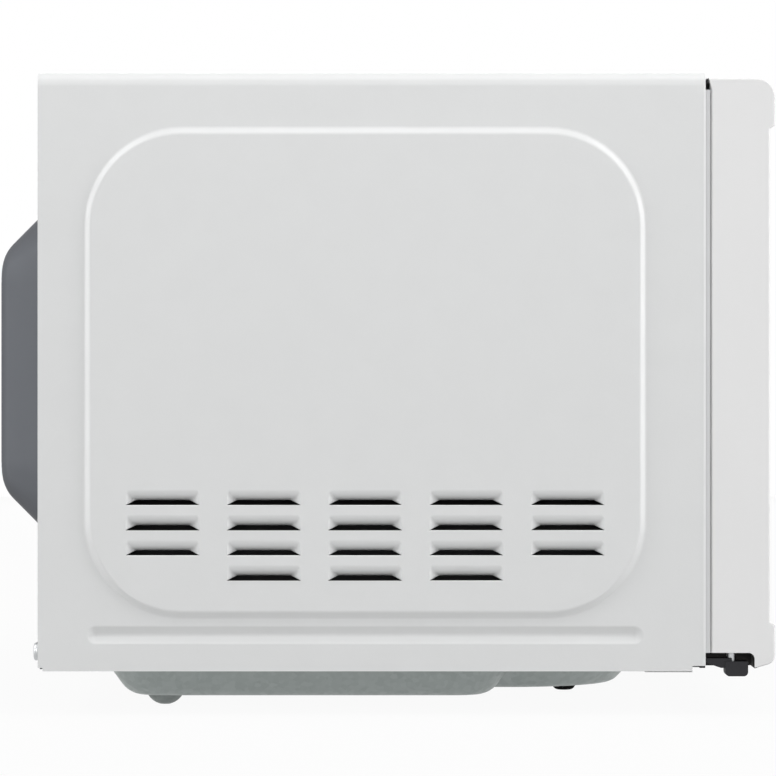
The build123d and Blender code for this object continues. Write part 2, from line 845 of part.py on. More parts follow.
with BuildPart() as cavity_right_wall:
    with BuildSketch(wall_face):
        with Locations((cavity_mid_y, mouth_mid_z)):
            Rectangle(rear_inner_y - plate_back_y, cavity_height)
        with Locations((guide_y, guide_z)):
            RectangleRounded(aperture_length, aperture_height, aperture_radius, mode=Mode.SUBTRACT)
        with Locations((lamp_y, lamp_z)):
            with GridLocations(lamp_hole_pitch, lamp_hole_pitch, lamp_hole_columns, lamp_hole_rows):
                Circle(lamp_hole_radius, mode=Mode.SUBTRACT)
        with Locations((air_y, air_z)):
            with GridLocations(air_pitch_y, air_pitch_z, air_columns, air_rows):
                SlotOverall(air_slot_length, air_slot_width, mode=Mode.SUBTRACT)
    extrude(amount=sheet)
cavity_right_wall.part.label = "cavity_right_wall"
export_step(cavity_right_wall.part, "parts/cavity_right_wall.step")


# Side outline shared by the door and the control panel: two rails with a set-back middle
def fascia(left_x, back_y):
    with BuildSketch(Plane.YZ.offset(left_x)) as outline:
        with BuildLine():
            Polyline(
                (back_y, door_bottom_z),
                (front_y + rail_chamfer_y, door_bottom_z),
                (front_y, door_bottom_z + rail_chamfer_z),
                (front_y, door_bottom_z + rail_bottom),
                (middle_y, door_bottom_z + rail_bottom + rail_step_slope),
                (middle_y, door_top_z - rail_top - rail_step_slope),
                (front_y, door_top_z - rail_top),
                (front_y, door_top_z),
                (back_y, door_top_z),
                close=True,
            )
        make_face()
        fillet(vertices().group_by(Axis.Y)[-1].sort_by(Axis.X)[0], rail_corner)
        fillet(vertices().group_by(Axis.X)[0].sort_by(Axis.Y)[0], rail_chamfer_radius)
        fillet(vertices().group_by(Axis.Y)[0].sort_by(Axis.X)[0], rail_bottom_radius)
    return outline.sketch


# Door frame: moulded front with its window pocket, hinge bosses and hinge recess
window_xs = (door_left_x + window_margin, door_right_x - window_margin)
window_low_z = door_bottom_z + rail_bottom + rail_step_slope + window_margin
window_high_z = door_top_z - rail_top - rail_step_slope - window_margin
screen_xs = (choke_left_x + choke_width, choke_right_x - choke_width)
screen_zs = (choke_bottom_z + choke_width, choke_top_z - choke_width)
sight_xs = (screen_xs[0] + sight_margin, screen_xs[1] - sight_margin)
sight_zs = (screen_zs[0] + sight_margin, screen_zs[1] - sight_margin)
hook_tail_z = hook_zs[0] - hook_tail
spring_top_z = hook_tail_z - guide_play
spring_low_z = spring_top_z - spring_length
hook_left_x = hook_x - hook_thickness / 2
hook_bar_y = hook_front_y + hook_bar_depth
upper_boss_half = neck_width + boss_play

# Hinge-side corner rounded about the pin, so that it clears the cabinet as it swings, up to a closed top end
relief_top_z = door_top_z - relief_drop

with BuildPart() as hinge_relief:
    with BuildSketch(Plane.XY.offset(door_bottom_z)):
        with Locations(((door_left_x + pin_x) / 2, (pin_y + seal_y) / 2)):
            Rectangle(pin_inset_x, seal_y - pin_y)
        with Locations((pin_x, pin_y)):
            Circle(swing_radius, mode=Mode.SUBTRACT)
    extrude(amount=relief_top_z - door_bottom_z)
    with BuildSketch(Plane.YZ.offset(door_left_x)):
        with BuildLine():
            Polyline(
                (door_back_y, relief_top_z - relief_end_height),
                (door_back_y, relief_top_z),
                (door_back_y + relief_end_depth, relief_top_z),
                close=True,
            )
        make_face()
    extrude(amount=pin_inset_x, mode=Mode.SUBTRACT)

with BuildPart() as door_frame:
    extrude(fascia(door_left_x, seal_y), amount=door_right_x - door_left_x)
    block(
        (door_left_x + door_wall, door_right_x - door_wall),
        (flange_y, seal_y),
        (door_bottom_z + door_wall, door_top_z - door_wall),
        Mode.SUBTRACT,
    )
    block(
        (door_left_x, recess_right_x + door_wall),
        (flange_y, seal_y),
        (door_bottom_z + door_wall, boss_lower_top_z),
    )
    block(
        (door_left_x, pin_x + upper_boss_half),
        (flange_y, pin_y + upper_boss_half),
        (boss_upper_z, boss_upper_z + boss_upper_height),
    )
    block(
        (hook_left_x - guide_play, door_right_x),
        (flange_y, hook_bar_y),
        (spring_low_z - ledge_thickness, spring_low_z),
    )
    with BuildSketch(Plane.YZ.offset(door_left_x)):
        with Locations(((recess_front_y + seal_y) / 2, (door_bottom_z + recess_top_z) / 2)):
            Rectangle(seal_y - recess_front_y, recess_height)
        fillet(vertices().group_by(Axis.Y)[-1].sort_by(Axis.X)[0], recess_radius)
    extrude(amount=recess_width, mode=Mode.SUBTRACT)
    with Locations((pin_x, pin_y, recess_top_z)):
        Cylinder(
            pin_radius + pin_clearance,
            boss_lower_height,
            align=(Align.CENTER, Align.CENTER, Align.MIN),
            mode=Mode.SUBTRACT,
        )
    with Locations((pin_x, pin_y, boss_upper_z)):
        Cylinder(
            pin_radius + pin_clearance,
            boss_upper_height,
            align=(Align.CENTER, Align.CENTER, Align.MIN),
            mode=Mode.SUBTRACT,
        )
    block(window_xs, (middle_y, pocket_y), (window_low_z, window_high_z), Mode.SUBTRACT)
    block(sight_xs, (middle_y, flange_y), sight_zs, Mode.SUBTRACT)
    add(hinge_relief.part, mode=Mode.SUBTRACT)
door_frame.part.label = "door_frame"
export_step(door_frame.part, "parts/door_frame.step")

# Door window: outer pane, set flush in the frame's middle
with BuildPart() as door_window:
    block(
        (window_xs[0] + window_play, window_xs[1] - window_play),
        (middle_y, middle_y + window_thickness),
        (window_low_z + window_play, window_high_z - window_play),
    )
    chamfer(faces().sort_by(Axis.Y)[0].edges(), window_thickness / 4)
door_window.part.label = "door_window"
export_step(door_window.part, "parts/door_window.step")

# Door plate: pressed steel with a choke channel round the screen
choke_xs = (choke_left_x, choke_right_x)
choke_zs = (choke_bottom_z, choke_top_z)

with BuildPart() as door_plate:
    block(choke_xs, (flange_y, choke_back_y), choke_zs)
    block(
        (choke_xs[0] + sheet, choke_xs[1] - sheet),
        (flange_y + sheet, choke_back_y),
        (choke_zs[0] + sheet, choke_zs[1] - sheet),
        Mode.SUBTRACT,
    )
    block(screen_xs, (flange_y, choke_back_y), screen_zs)
    block(
        (screen_xs[0] + sheet, screen_xs[1] - sheet),
        (flange_y, choke_back_y - sheet),
        (screen_zs[0] + sheet, screen_zs[1] - sheet),
        Mode.SUBTRACT,
    )
door_plate.part.label = "door_plate"
export_step(door_plate.part, "parts/door_plate.step")

# Choke cover: moulded ring over the choke channel
lap_xs = (screen_xs[0] + choke_lap, screen_xs[1] - choke_lap)
lap_zs = (screen_zs[0] + choke_lap, screen_zs[1] - choke_lap)

with BuildPart() as choke_cover:
    block(choke_xs, (choke_back_y, seal_y), choke_zs)
    fillet(edges().filter_by(Axis.Y), mouth_radius)
    chamfer(faces().sort_by(Axis.Y)[-1].edges(), choke_cover_thickness / 3)
    block(lap_xs, (choke_back_y, seal_y), lap_zs, Mode.SUBTRACT)
choke_cover.part.label = "choke_cover"
export_step(choke_cover.part, "parts/choke_cover.step")

# Inner window: clear sheet over the screen, inside the choke cover
with BuildPart() as inner_window:
    block(
        (lap_xs[0] + window_play, lap_xs[1] - window_play),
        (choke_back_y, choke_back_y + inner_window_thickness),
        (lap_zs[0] + window_play, lap_zs[1] - window_play),
    )
inner_window.part.label = "inner_window"
export_step(inner_window.part, "parts/inner_window.step")

# Latch hook: one moulding with two hooks that reach into the front plate
hook_high_z = hook_zs[1] + hook_arm_height + hook_tail

with BuildPart() as latch_hook:
    with BuildSketch(Plane.YZ.offset(hook_left_x)):
        with Locations(((hook_front_y + hook_bar_y) / 2, (hook_tail_z + hook_high_z) / 2)):
            Rectangle(hook_bar_depth, hook_high_z - hook_tail_z)
        for z in hook_zs:
            arm_top_z = z + hook_arm_height
            with BuildLine():
                Polyline(
                    (hook_bar_y, z),
                    (hook_tip_y, z),
                    (hook_tip_y, arm_top_z),
                    (hook_tip_y - hook_barb_length / 2, arm_top_z + hook_barb),
                    (hook_tip_y - hook_barb_length, arm_top_z + hook_barb),
                    (hook_tip_y - hook_barb_length, arm_top_z),
                    (hook_bar_y, arm_top_z),
                    close=True,
                )
            make_face()
    extrude(amount=hook_thickness)
latch_hook.part.label = "latch_hook"
export_step(latch_hook.part, "parts/latch_hook.step")

# Latch spring: envelope of the small coil that holds the latch hook up
with BuildPart() as latch_spring:
    with Locations((hook_x, (hook_front_y + hook_bar_y) / 2, spring_low_z)):
        Cylinder(spring_radius, spring_length, align=(Align.CENTER, Align.CENTER, Align.MIN))
        Cylinder(
            spring_radius - spring_wire,
            spring_length,
            align=(Align.CENTER, Align.CENTER, Align.MIN),
            mode=Mode.SUBTRACT,
        )
latch_spring.part.label = "latch_spring"
export_step(latch_spring.part, "parts/latch_spring.step")

# Lower hinge: steel arm and tab, fixed behind the front plate
tab_top_z = recess_top_z - hinge_tab_top
tab_mid_y = pin_y - hinge_tab_forward
arm_left_x = pin_x - hinge_arm_width / 2
flange_back_y = plate_back_y + hinge_flange

with BuildPart() as hinge_lower:
    block(
        (arm_left_x, wall_left_x - hole_play),
        (plate_back_y, flange_back_y),
        (rim_top_z, rim_top_z + hinge_flange_height),
    )
    block(
        (arm_left_x, arm_left_x + hinge_arm_width),
        (pin_y, flange_back_y),
        (arm_z, arm_z + hinge_arm_height),
    )
    with BuildSketch(Plane.YZ.offset(arm_left_x)):
        with BuildLine():
            Polyline(
                (cover_front_y - hinge_arm_run, arm_z),
                (cover_front_y, arm_z),
                (cover_front_y, arm_z + hinge_arm_rise),
                close=True,
            )
        make_face()
    extrude(amount=hinge_arm_width, mode=Mode.SUBTRACT)
    with BuildSketch(Plane.YZ.offset(pin_x - hinge_tab_width / 2)):
        with Locations((tab_mid_y, tab_top_z - hinge_tab_height / 2)):
            Rectangle(hinge_tab_length, hinge_tab_height)
        fillet(vertices().group_by(Axis.Y)[0], hinge_tab_radius)
    extrude(amount=hinge_tab_width)
    with Locations((pin_x, pin_y, tab_top_z)):
        Cylinder(pin_radius + pin_clearance, through_cut, mode=Mode.SUBTRACT)
hinge_lower.part.label = "hinge_lower"
export_step(hinge_lower.part, "parts/hinge_lower.step")

# Upper hinge: flat neck that enters the door from behind, so that the door's side stays whole
neck_mid_y = pin_y - neck_drop

with BuildPart() as hinge_upper:
    with BuildSketch(Plane.XY.offset(neck_z)):
        with Locations((neck_x, (neck_mid_y - neck_width / 2 + flange_back_y) / 2)):
            Rectangle(neck_width, flange_back_y - neck_mid_y + neck_width / 2)
        with Locations(((pin_x + neck_x) / 2, neck_mid_y)):
            Rectangle(neck_x - pin_x, neck_width)
        with Locations((pin_x, pin_y)):
            Circle(neck_end_radius)
            Circle(pin_radius + pin_clearance, mode=Mode.SUBTRACT)
    extrude(amount=neck_thickness)
    block(
        (neck_x - hinge_arm_width, neck_x + hinge_arm_width),
        (plate_back_y, flange_back_y),
        (boss_upper_z, neck_z + neck_thickness),
    )
hinge_upper.part.label = "hinge_upper"
export_step(hinge_upper.part, "parts/hinge_upper.step")

# Hinge pins: held in the hinges, running in the door's bosses
with BuildPart() as hinge_pins:
    lower_pin_z = tab_top_z - hinge_tab_height / 2
    with Locations((pin_x, pin_y, lower_pin_z)):
        Cylinder(
            pin_radius,
            recess_top_z + boss_lower_height - lower_pin_z,
            align=(Align.CENTER, Align.CENTER, Align.MIN),
        )
    with Locations((pin_x, pin_y, boss_upper_z)):
        Cylinder(
            pin_radius,
            neck_z + neck_thickness - boss_upper_z,
            align=(Align.CENTER, Align.CENTER, Align.MIN),
        )
hinge_pins.part.label = "hinge_pins"
export_step(hinge_pins.part, "parts/hinge_pins.step")

# Control panel: moulded front with its keypad, display, button opening and board posts
button_xs = (control_left_x + button_margin, control_right_x - button_margin)
button_zs = (button_z, button_z + button_height)
keypad_xs = (control_left_x + sheet_margin, control_right_x - sheet_margin)
keypad_zs = (button_zs[1] + keypad_rise, window_high_z)
display_xs = (control_left_x + display_margin, control_right_x - display_margin)
display_zs = (keypad_zs[1] - display_drop - display_height, keypad_zs[1] - display_drop)
board_y = flange_y + board_standoff
board_xs = (control_left_x + board_margin, control_right_x - board_margin)
board_zs = (keypad_zs[1] - board_drop / 2 - board_height, keypad_zs[1] - board_drop / 2)
post_places = [
    (x, z)
    for x in (board_xs[0] + board_post_inset, board_xs[1] - board_post_inset)
    for z in (board_zs[0] + board_post_inset, board_zs[1] - board_post_inset / 2)
]
panel_back = Plane((0, flange_y, 0), x_dir=(-1, 0, 0), z_dir=(0, 1, 0))

with BuildPart() as control_panel:
    extrude(fascia(control_left_x, cover_front_y), amount=control_width)
    block(
        (control_left_x + door_wall, control_right_x - door_wall),
        (flange_y, cover_front_y),
        (door_bottom_z + door_wall, door_top_z - door_wall),
        Mode.SUBTRACT,
    )
    block(keypad_xs, (middle_y, middle_y + sheet_thickness), keypad_zs, Mode.SUBTRACT)
    block(display_xs, (middle_y, flange_y), display_zs, Mode.SUBTRACT)
    block(button_xs, (middle_y, flange_y), button_zs, Mode.SUBTRACT)
    with BuildSketch(panel_back):
        with Locations(*[(-x, z) for x, z in post_places]):
            Circle(board_post_radius)
    extrude(amount=board_standoff)
control_panel.part.label = "control_panel"
export_step(control_panel.part, "parts/control_panel.step")

# Keypad sheet: flat membrane overlay with a window for the display
with BuildPart() as keypad_sheet:
    block(
        (keypad_xs[0] + window_play, keypad_xs[1] - window_play),
        (middle_y, middle_y + sheet_thickness),
        (keypad_zs[0] + window_play, keypad_zs[1] - window_play),
    )
    block(display_xs, (middle_y, middle_y + sheet_thickness), display_zs, Mode.SUBTRACT)
keypad_sheet.part.label = "keypad_sheet"
export_step(keypad_sheet.part, "parts/keypad_sheet.step")

# Display lens: fills the display opening, flush with the keypad sheet
with BuildPart() as display_lens:
    block(
        (display_xs[0] + window_play, display_xs[1] - window_play),
        (middle_y, middle_y + lens_thickness),
        (display_zs[0] + window_play, display_zs[1] - window_play),
    )
display_lens.part.label = "display_lens"
export_step(display_lens.part, "parts/display_lens.step")

# Control board: circuit board with its display block and relays
relay_x = (window_left_x + window_right_x) / 2
relay_zs = [board_zs[0] + relay_height + row * relay_pitch for row in range(relay_count)]

with BuildPart() as control_board:
    block(board_xs, (board_y, board_y + board_thickness), board_zs)
    block(
        (display_xs[0] + window_play, display_xs[1] - window_play),
        (middle_y + lens_thickness + window_play, board_y),
        (display_zs[0] + window_play, display_zs[1] - window_play),
    )
    with Locations(*[(relay_x, board_y + board_thickness, z) for z in relay_zs]):
        Box(relay_width, relay_depth, relay_height, align=(Align.CENTER, Align.MIN, Align.CENTER))
control_board.part.label = "control_board"
export_step(control_board.part, "parts/control_board.step")

# Release button: hollow cap with the stem that pushes the release lever
cap_front_y = middle_y - button_proud
cap_back_y = cap_front_y + button_depth
pad_y = lever_y - lever_pad_reach
stem_half = stem_size / 2

with BuildPart() as release_button:
    block(
        (button_xs[0] + button_play, button_xs[1] - button_play),
        (cap_front_y, cap_back_y),
        (button_zs[0] + button_play, button_zs[1] - button_play),
    )
    fillet(faces().sort_by(Axis.Y)[0].edges(), button_edge_radius)
    block(
        (button_xs[0] + button_play + door_wall, button_xs[1] - button_play - door_wall),
        (cap_front_y + door_wall, cap_back_y),
        (button_zs[0] + button_play + door_wall, button_zs[1] - button_play - door_wall),
        Mode.SUBTRACT,
    )
    block(
        (stem_x - stem_half, stem_x + stem_half),
        (cap_front_y + door_wall / 2, pad_y - lever_gap),
        (stem_z - stem_half, stem_z + stem_half),
    )
release_button.part.label = "release_button"
export_step(release_button.part, "parts/release_button.step")

# Release lever: paddle behind the button's stem and an arm over the lower latch hook
hub_xs = (hook_x - lever_arm_width / 2, stem_x + paddle_width / 2)
arm_low_z = hook_zs[0] + hook_arm_height + hook_barb + lever_gap
pad_low_z = lever_z - lever_pad_drop - lever_pad

with BuildPart() as release_lever:
    with Locations((sum(hub_xs) / 2, lever_y, lever_z)):
        Cylinder(lever_hub_radius, hub_xs[1] - hub_xs[0], rotation=(0, 90, 0))
    with BuildSketch(Plane.YZ.offset(stem_x - paddle_width / 2)):
        with BuildLine():
            Polyline(
                (pad_y, pad_low_z + lever_pad),
                (pad_y, pad_low_z),
                (pad_y + lever_web, pad_low_z),
                (lever_y + lever_web, lever_z),
                (lever_y - lever_web, lever_z),
                close=True,
            )
        make_face()
    extrude(amount=paddle_width)
    with BuildSketch(Plane.YZ.offset(hub_xs[0])):
        with BuildLine():
            Polyline(
                (lever_y - lever_web, lever_z),
                (lever_y + lever_web, lever_z),
                (lever_y + lever_web, arm_low_z + lever_arm_height),
                (lever_y - lever_arm_reach, arm_low_z + lever_arm_height),
                (lever_y - lever_arm_reach, arm_low_z),
                (lever_y - lever_web, arm_low_z),
                close=True,
            )
        make_face()
    extrude(amount=lever_arm_width)
    with Locations((sum(hub_xs) / 2, lever_y, lever_z)):
        Cylinder(
            lever_pin_radius + lever_bore_play,
            through_cut,
            rotation=(0, 90, 0),
            mode=Mode.SUBTRACT,
        )
release_lever.part.label = "release_lever"
export_step(release_lever.part, "parts/release_lever.step")

# Interlock bracket: flange behind the front plate, cheeks for the lever and a web for the switches
bracket_xs = (cell_left_x + door_wall, window_left_x - bracket_edge)
bracket_zs = (lever_z - bracket_margin, hook_zs[1] + hook_arm_height + bracket_top)
bracket_back_y = plate_back_y + bracket_wall
cheek_xs = (
    (hub_xs[0] - button_play - bracket_wall, hub_xs[0] - button_play),
    (hub_xs[1] + button_play, hub_xs[1] + button_play + bracket_wall),
)
web_left_x = hook_x + hook_thickness / 2 + hook_side_play + door_wall
web_low_z = arm_low_z + lever_arm_height + bracket_margin
switch_front_y = hook_tip_y + switch_setback
web_back_y = switch_front_y + switch_depth

with BuildPart() as interlock_bracket:
    block(bracket_xs, (plate_back_y, bracket_back_y), bracket_zs)
    for xs in cheek_xs:
        block(
            xs,
            (bracket_back_y, lever_y + bracket_margin),
            (lever_z - bracket_margin, lever_z + bracket_margin),
        )
    block(
        (web_left_x, web_left_x + bracket_wall),
        (bracket_back_y, web_back_y),
        (web_low_z, bracket_zs[1]),
    )
    for z in hook_zs:
        block(
            (hook_left_x - hook_side_play, hook_left_x + hook_thickness + hook_side_play),
            (plate_back_y, bracket_back_y),
            (z - slot_low, z - slot_low + slot_height),
            Mode.SUBTRACT,
        )
    with Locations((sum(hub_xs) / 2, lever_y, lever_z)):
        Cylinder(
            lever_pin_radius + lever_bore_play,
            through_cut,
            rotation=(0, 90, 0),
            mode=Mode.SUBTRACT,
        )
interlock_bracket.part.label = "interlock_bracket"
export_step(interlock_bracket.part, "parts/interlock_bracket.step")

# Lever pivot: pin through the bracket's cheeks
with BuildPart() as lever_pivot:
    with Locations((sum(hub_xs) / 2, lever_y, lever_z)):
        Cylinder(lever_pin_radius, cheek_xs[1][1] - cheek_xs[0][0] + door_wall, rotation=(0, 90, 0))
lever_pivot.part.label = "lever_pivot"
export_step(lever_pivot.part, "parts/lever_pivot.step")

# Interlock switches: three micro switches on the bracket's web
switch_places = [
    (web_left_x - switch_width / 2, hook_zs[1] + hook_arm_height / 2),
    (web_left_x + bracket_wall + switch_width / 2, hook_zs[1] + hook_arm_height / 2),
    (web_left_x - switch_width / 2, (sum(hook_zs) + hook_arm_height) / 2),
]

with BuildPart() as interlock_switches:
    with Locations(*[(x, switch_front_y, z) for x, z in switch_places]):
        Box(switch_width, switch_depth, switch_height, align=(Align.CENTER, Align.MIN, Align.CENTER))
        Cylinder(
            switch_plunger,
            switch_setback / 2,
            rotation=(90, 0, 0),
            align=(Align.CENTER, Align.CENTER, Align.MIN),
        )
interlock_switches.part.label = "interlock_switches"
export_step(interlock_switches.part, "parts/interlock_switches.step")

# Waveguide: flanged duct on the outside of the cavity's right wall
guide_right_x = cell_left_x + guide_depth
cell_face = Plane((cell_left_x, guide_y, guide_z), x_dir=(0, 1, 0), z_dir=(1, 0, 0))

with BuildPart() as waveguide:
    with BuildSketch(cell_face):
        Rectangle(guide_length + 2 * guide_flange, guide_height + 2 * guide_flange)
    extrude(amount=sheet)
    with BuildSketch(cell_face):
        Rectangle(guide_length, guide_height)
    extrude(amount=guide_depth)
    with BuildSketch(cell_face):
        Rectangle(guide_length - 2 * sheet, guide_height - 2 * sheet)
    extrude(amount=guide_depth - sheet, mode=Mode.SUBTRACT)
    with BuildSketch(cell_face.offset(guide_depth)):
        Circle(antenna_radius + door_wall)
    extrude(amount=-2 * sheet, mode=Mode.SUBTRACT)
waveguide.part.label = "waveguide"
export_step(waveguide.part, "parts/waveguide.step")

# Waveguide cover: mica sheet on the cavity side of the aperture
with BuildPart() as waveguide_cover:
    with BuildSketch(wall_face):
        with Locations((guide_y, guide_z)):
            Rectangle(aperture_length + 2 * mica_margin, aperture_height + 2 * mica_margin)
            chamfer(vertices(), mica_margin)
    extrude(amount=-mica_thickness)
waveguide_cover.part.label = "waveguide_cover"
export_step(waveguide_cover.part, "parts/waveguide_cover.step")

# Magnetron yoke: folded steel box, open to the air flow, with the filter box on its end
yoke_face = Plane((guide_right_x, guide_y, guide_z), x_dir=(0, 1, 0), z_dir=(1, 0, 0))
yoke_inner_height = yoke_height - 2 * yoke_plate

with BuildPart() as magnetron_yoke:
    with BuildSketch(yoke_face):
        Rectangle(yoke_depth, yoke_height)
    extrude(amount=yoke_length)
    with BuildSketch(yoke_face.offset(yoke_plate)):
        Rectangle(yoke_depth, yoke_inner_height)
    extrude(amount=yoke_length - 2 * yoke_plate, mode=Mode.SUBTRACT)
    with BuildSketch(yoke_face):
        Circle(antenna_radius + door_wall)
    extrude(amount=yoke_plate, mode=Mode.SUBTRACT)
    with BuildSketch(yoke_face.offset(yoke_length)):
        RectangleRounded(filter_box_size, filter_box_size, mouth_radius)
    extrude(amount=filter_box)
magnetron_yoke.part.label = "magnetron_yoke"
export_step(magnetron_yoke.part, "parts/magnetron_yoke.step")

# Magnetron core: anode with cooling fins, and the antenna in the waveguide
anode_length = yoke_length - 2 * yoke_plate
fin_pitch = anode_length / (fin_count + 1)

with BuildPart() as magnetron_core:
    with BuildSketch(yoke_face.offset(yoke_plate)):
        Circle(anode_radius)
    extrude(amount=anode_length)
    for fin in range(1, fin_count + 1):
        with BuildSketch(yoke_face.offset(yoke_plate + fin * fin_pitch - fin_thickness / 2)):
            Rectangle(yoke_depth - 2 * fin_margin, yoke_inner_height)
        extrude(amount=fin_thickness)
    with BuildSketch(yoke_face.offset(yoke_plate)):
        Circle(antenna_radius)
    extrude(amount=-(yoke_plate + antenna_length))
    fillet(faces().sort_by(Axis.X)[0].edges(), antenna_radius / 2)
magnetron_core.part.label = "magnetron_core"
export_step(magnetron_core.part, "parts/magnetron_core.step")

# Transformer core: laminated block with two windows, standing in the pan
pan_floor_z = pan_bottom_z + sheet
core_xs = (cell_left_x + core_shift_x, cell_left_x + core_shift_x + core_stack)
core_mid_x = sum(core_xs) / 2
core_side = Plane((core_xs[0], core_y, pan_floor_z), x_dir=(0, 1, 0), z_dir=(1, 0, 0))
window_shift = (core_leg + core_window) / 2
window_height = core_height - 2 * core_yoke

with BuildPart() as transformer_core:
    with BuildSketch(core_side):
        with Locations((0, core_height / 2)):
            Rectangle(core_length, core_height)
        with Locations((-window_shift, core_height / 2), (window_shift, core_height / 2)):
            Rectangle(core_window, window_height, mode=Mode.SUBTRACT)
    extrude(amount=core_stack)
transformer_core.part.label = "transformer_core"
export_step(transformer_core.part, "parts/transformer_core.step")

# Transformer windings: primary below, secondary above, round the middle leg
coil_height = (window_height - coil_gap) / 2 - coil_play
coil_zs = (
    pan_floor_z + core_yoke + coil_play,
    pan_floor_z + core_height - core_yoke - coil_play - coil_height,
)

with BuildPart() as transformer_windings:
    for z in coil_zs:
        with BuildSketch(Plane.XY.offset(z)):
            with Locations((core_mid_x, core_y)):
                RectangleRounded(
                    core_stack + 2 * coil_overhang,
                    core_leg + 2 * (core_window - coil_play),
                    coil_overhang / 2,
                )
                Rectangle(core_stack + 2 * coil_play, core_leg + 2 * coil_play, mode=Mode.SUBTRACT)
        extrude(amount=coil_height)
transformer_windings.part.label = "transformer_windings"
export_step(transformer_windings.part, "parts/transformer_windings.step")

# High-voltage capacitor: oval can with two terminals
capacitor_x = cell_left_x + capacitor_shift_x
capacitor_base = Plane((capacitor_x, capacitor_y, pan_floor_z))

with BuildPart() as hv_capacitor:
    with BuildSketch(capacitor_base):
        SlotOverall(capacitor_length, capacitor_width)
    extrude(amount=capacitor_height)
    with BuildSketch(capacitor_base.offset(capacitor_height)):
        with Locations((-capacitor_length / 4, 0), (capacitor_length / 4, 0)):
            Rectangle(terminal_width, sheet)
    extrude(amount=terminal_height)
hv_capacitor.part.label = "hv_capacitor"
export_step(hv_capacitor.part, "parts/hv_capacitor.step")

# Capacitor clamp: band round the can, with a foot on the pan
clamp_inner = capacitor_length + 2 * coil_play
clamp_end_x = capacitor_x + (clamp_inner + clamp_band) / 2

with BuildPart() as capacitor_clamp:
    with BuildSketch(capacitor_base.offset(clamp_lift)):
        SlotOverall(clamp_inner + 2 * clamp_band, capacitor_width + 2 * (coil_play + clamp_band))
        SlotOverall(clamp_inner, capacitor_width + 2 * coil_play, mode=Mode.SUBTRACT)
    extrude(amount=clamp_height)
    block(
        (clamp_end_x, clamp_end_x + clamp_band),
        (capacitor_y - clamp_foot / 2, capacitor_y + clamp_foot / 2),
        (pan_floor_z, pan_floor_z + clamp_lift + clamp_height),
    )
    block(
        (clamp_end_x, clamp_end_x + clamp_foot),
        (capacitor_y - clamp_foot / 2, capacitor_y + clamp_foot / 2),
        (pan_floor_z, pan_floor_z + clamp_band),
    )
capacitor_clamp.part.label = "capacitor_clamp"
export_step(capacitor_clamp.part, "parts/capacitor_clamp.step")

# Filter board: mains filter standing on the base plate's rim
filter_board_x = cell_right_x - filter_board_inset
filter_mid_z = rim_top_z + filter_board_height / 2

with BuildPart() as filter_board:
    block(
        (filter_board_x, filter_board_x + board_thickness),
        (filter_board_y - filter_board_length / 2, filter_board_y + filter_board_length / 2),
        (rim_top_z, rim_top_z + filter_board_height),
    )
    with Locations((filter_board_x, filter_board_y - filter_board_length / 4, filter_mid_z)):
        Cylinder(
            choke_coil_radius,
            choke_coil_length,
            rotation=(0, -90, 0),
            align=(Align.CENTER, Align.CENTER, Align.MIN),
        )
    with Locations((filter_board_x, filter_board_y + filter_board_length / 4, filter_mid_z)):
        Box(relay_width, relay_depth, relay_height, align=(Align.MAX, Align.CENTER, Align.CENTER))
filter_board.part.label = "filter_board"
export_step(filter_board.part, "parts/filter_board.step")

# Fan frame: square duct on the rear panel with a round mouth and a spider for the motor
frame_front_y = rear_inner_y - fan_frame_depth
fan_duct_half = fan_frame_half - fan_frame_wall
fan_plane = Plane((fan_x, frame_front_y, fan_z), x_dir=(1, 0, 0), z_dir=(0, 1, 0))

with BuildPart() as fan_frame:
    with BuildSketch(fan_plane):
        Rectangle(2 * fan_frame_half, 2 * fan_frame_half)
        Circle(fan_opening_radius, mode=Mode.SUBTRACT)
    extrude(amount=fan_frame_wall)
    with BuildSketch(fan_plane):
        Rectangle(2 * fan_frame_half, 2 * fan_frame_half)
        Rectangle(2 * fan_duct_half, 2 * fan_duct_half, mode=Mode.SUBTRACT)
    extrude(amount=fan_frame_depth)
    with BuildSketch(fan_plane):
        with PolarLocations((fan_opening_radius + door_wall) / 2, spider_arms):
            Rectangle(fan_opening_radius + door_wall, spider_width)
        Circle(fan_motor_radius)
        Circle(fan_shaft_radius + hole_play, mode=Mode.SUBTRACT)
    extrude(amount=-fan_frame_wall)
fan_frame.part.label = "fan_frame"
export_step(fan_frame.part, "parts/fan_frame.step")

# Fan motor on the spider, with its shaft through the middle
with BuildPart() as fan_motor:
    with BuildSketch(fan_plane.offset(-fan_frame_wall)):
        Circle(fan_motor_radius)
    extrude(amount=-fan_motor_length)
    fillet(faces().sort_by(Axis.Y)[0].edges(), door_wall)
    with BuildSketch(fan_plane.offset(-fan_frame_wall)):
        Circle(fan_shaft_radius)
    extrude(amount=fan_frame_wall + fan_setback + fan_hub_length)
fan_motor.part.label = "fan_motor"
export_step(fan_motor.part, "parts/fan_motor.step")

# Fan blade: pitched blades on a hub
blade_reach = fan_radius - fan_hub_radius / 2

with BuildPart(fan_plane.offset(fan_setback + fan_hub_length / 2)) as fan_blade:
    Cylinder(fan_hub_radius, fan_hub_length)
    with PolarLocations(fan_radius - blade_reach / 2, fan_blades):
        Box(blade_reach, fan_blade_width, fan_blade_thickness, rotation=(fan_blade_pitch, 0, 0))
    Cylinder(fan_radius, through_cut, mode=Mode.INTERSECT)
    Cylinder(fan_shaft_radius + shaft_play, through_cut, mode=Mode.SUBTRACT)
fan_blade.part.label = "fan_blade"
export_step(fan_blade.part, "parts/fan_blade.step")

# Turntable motor under the cavity floor
floor_under_z = cavity_floor_z - sheet
coupler_z = cavity_floor_z + coupler_lift
axle_z = track_z + wheel_radius + roller_play
tray_z = axle_z + wheel_radius + roller_play
turntable_axis = Plane((cavity_mid_x, turntable_y, 0))

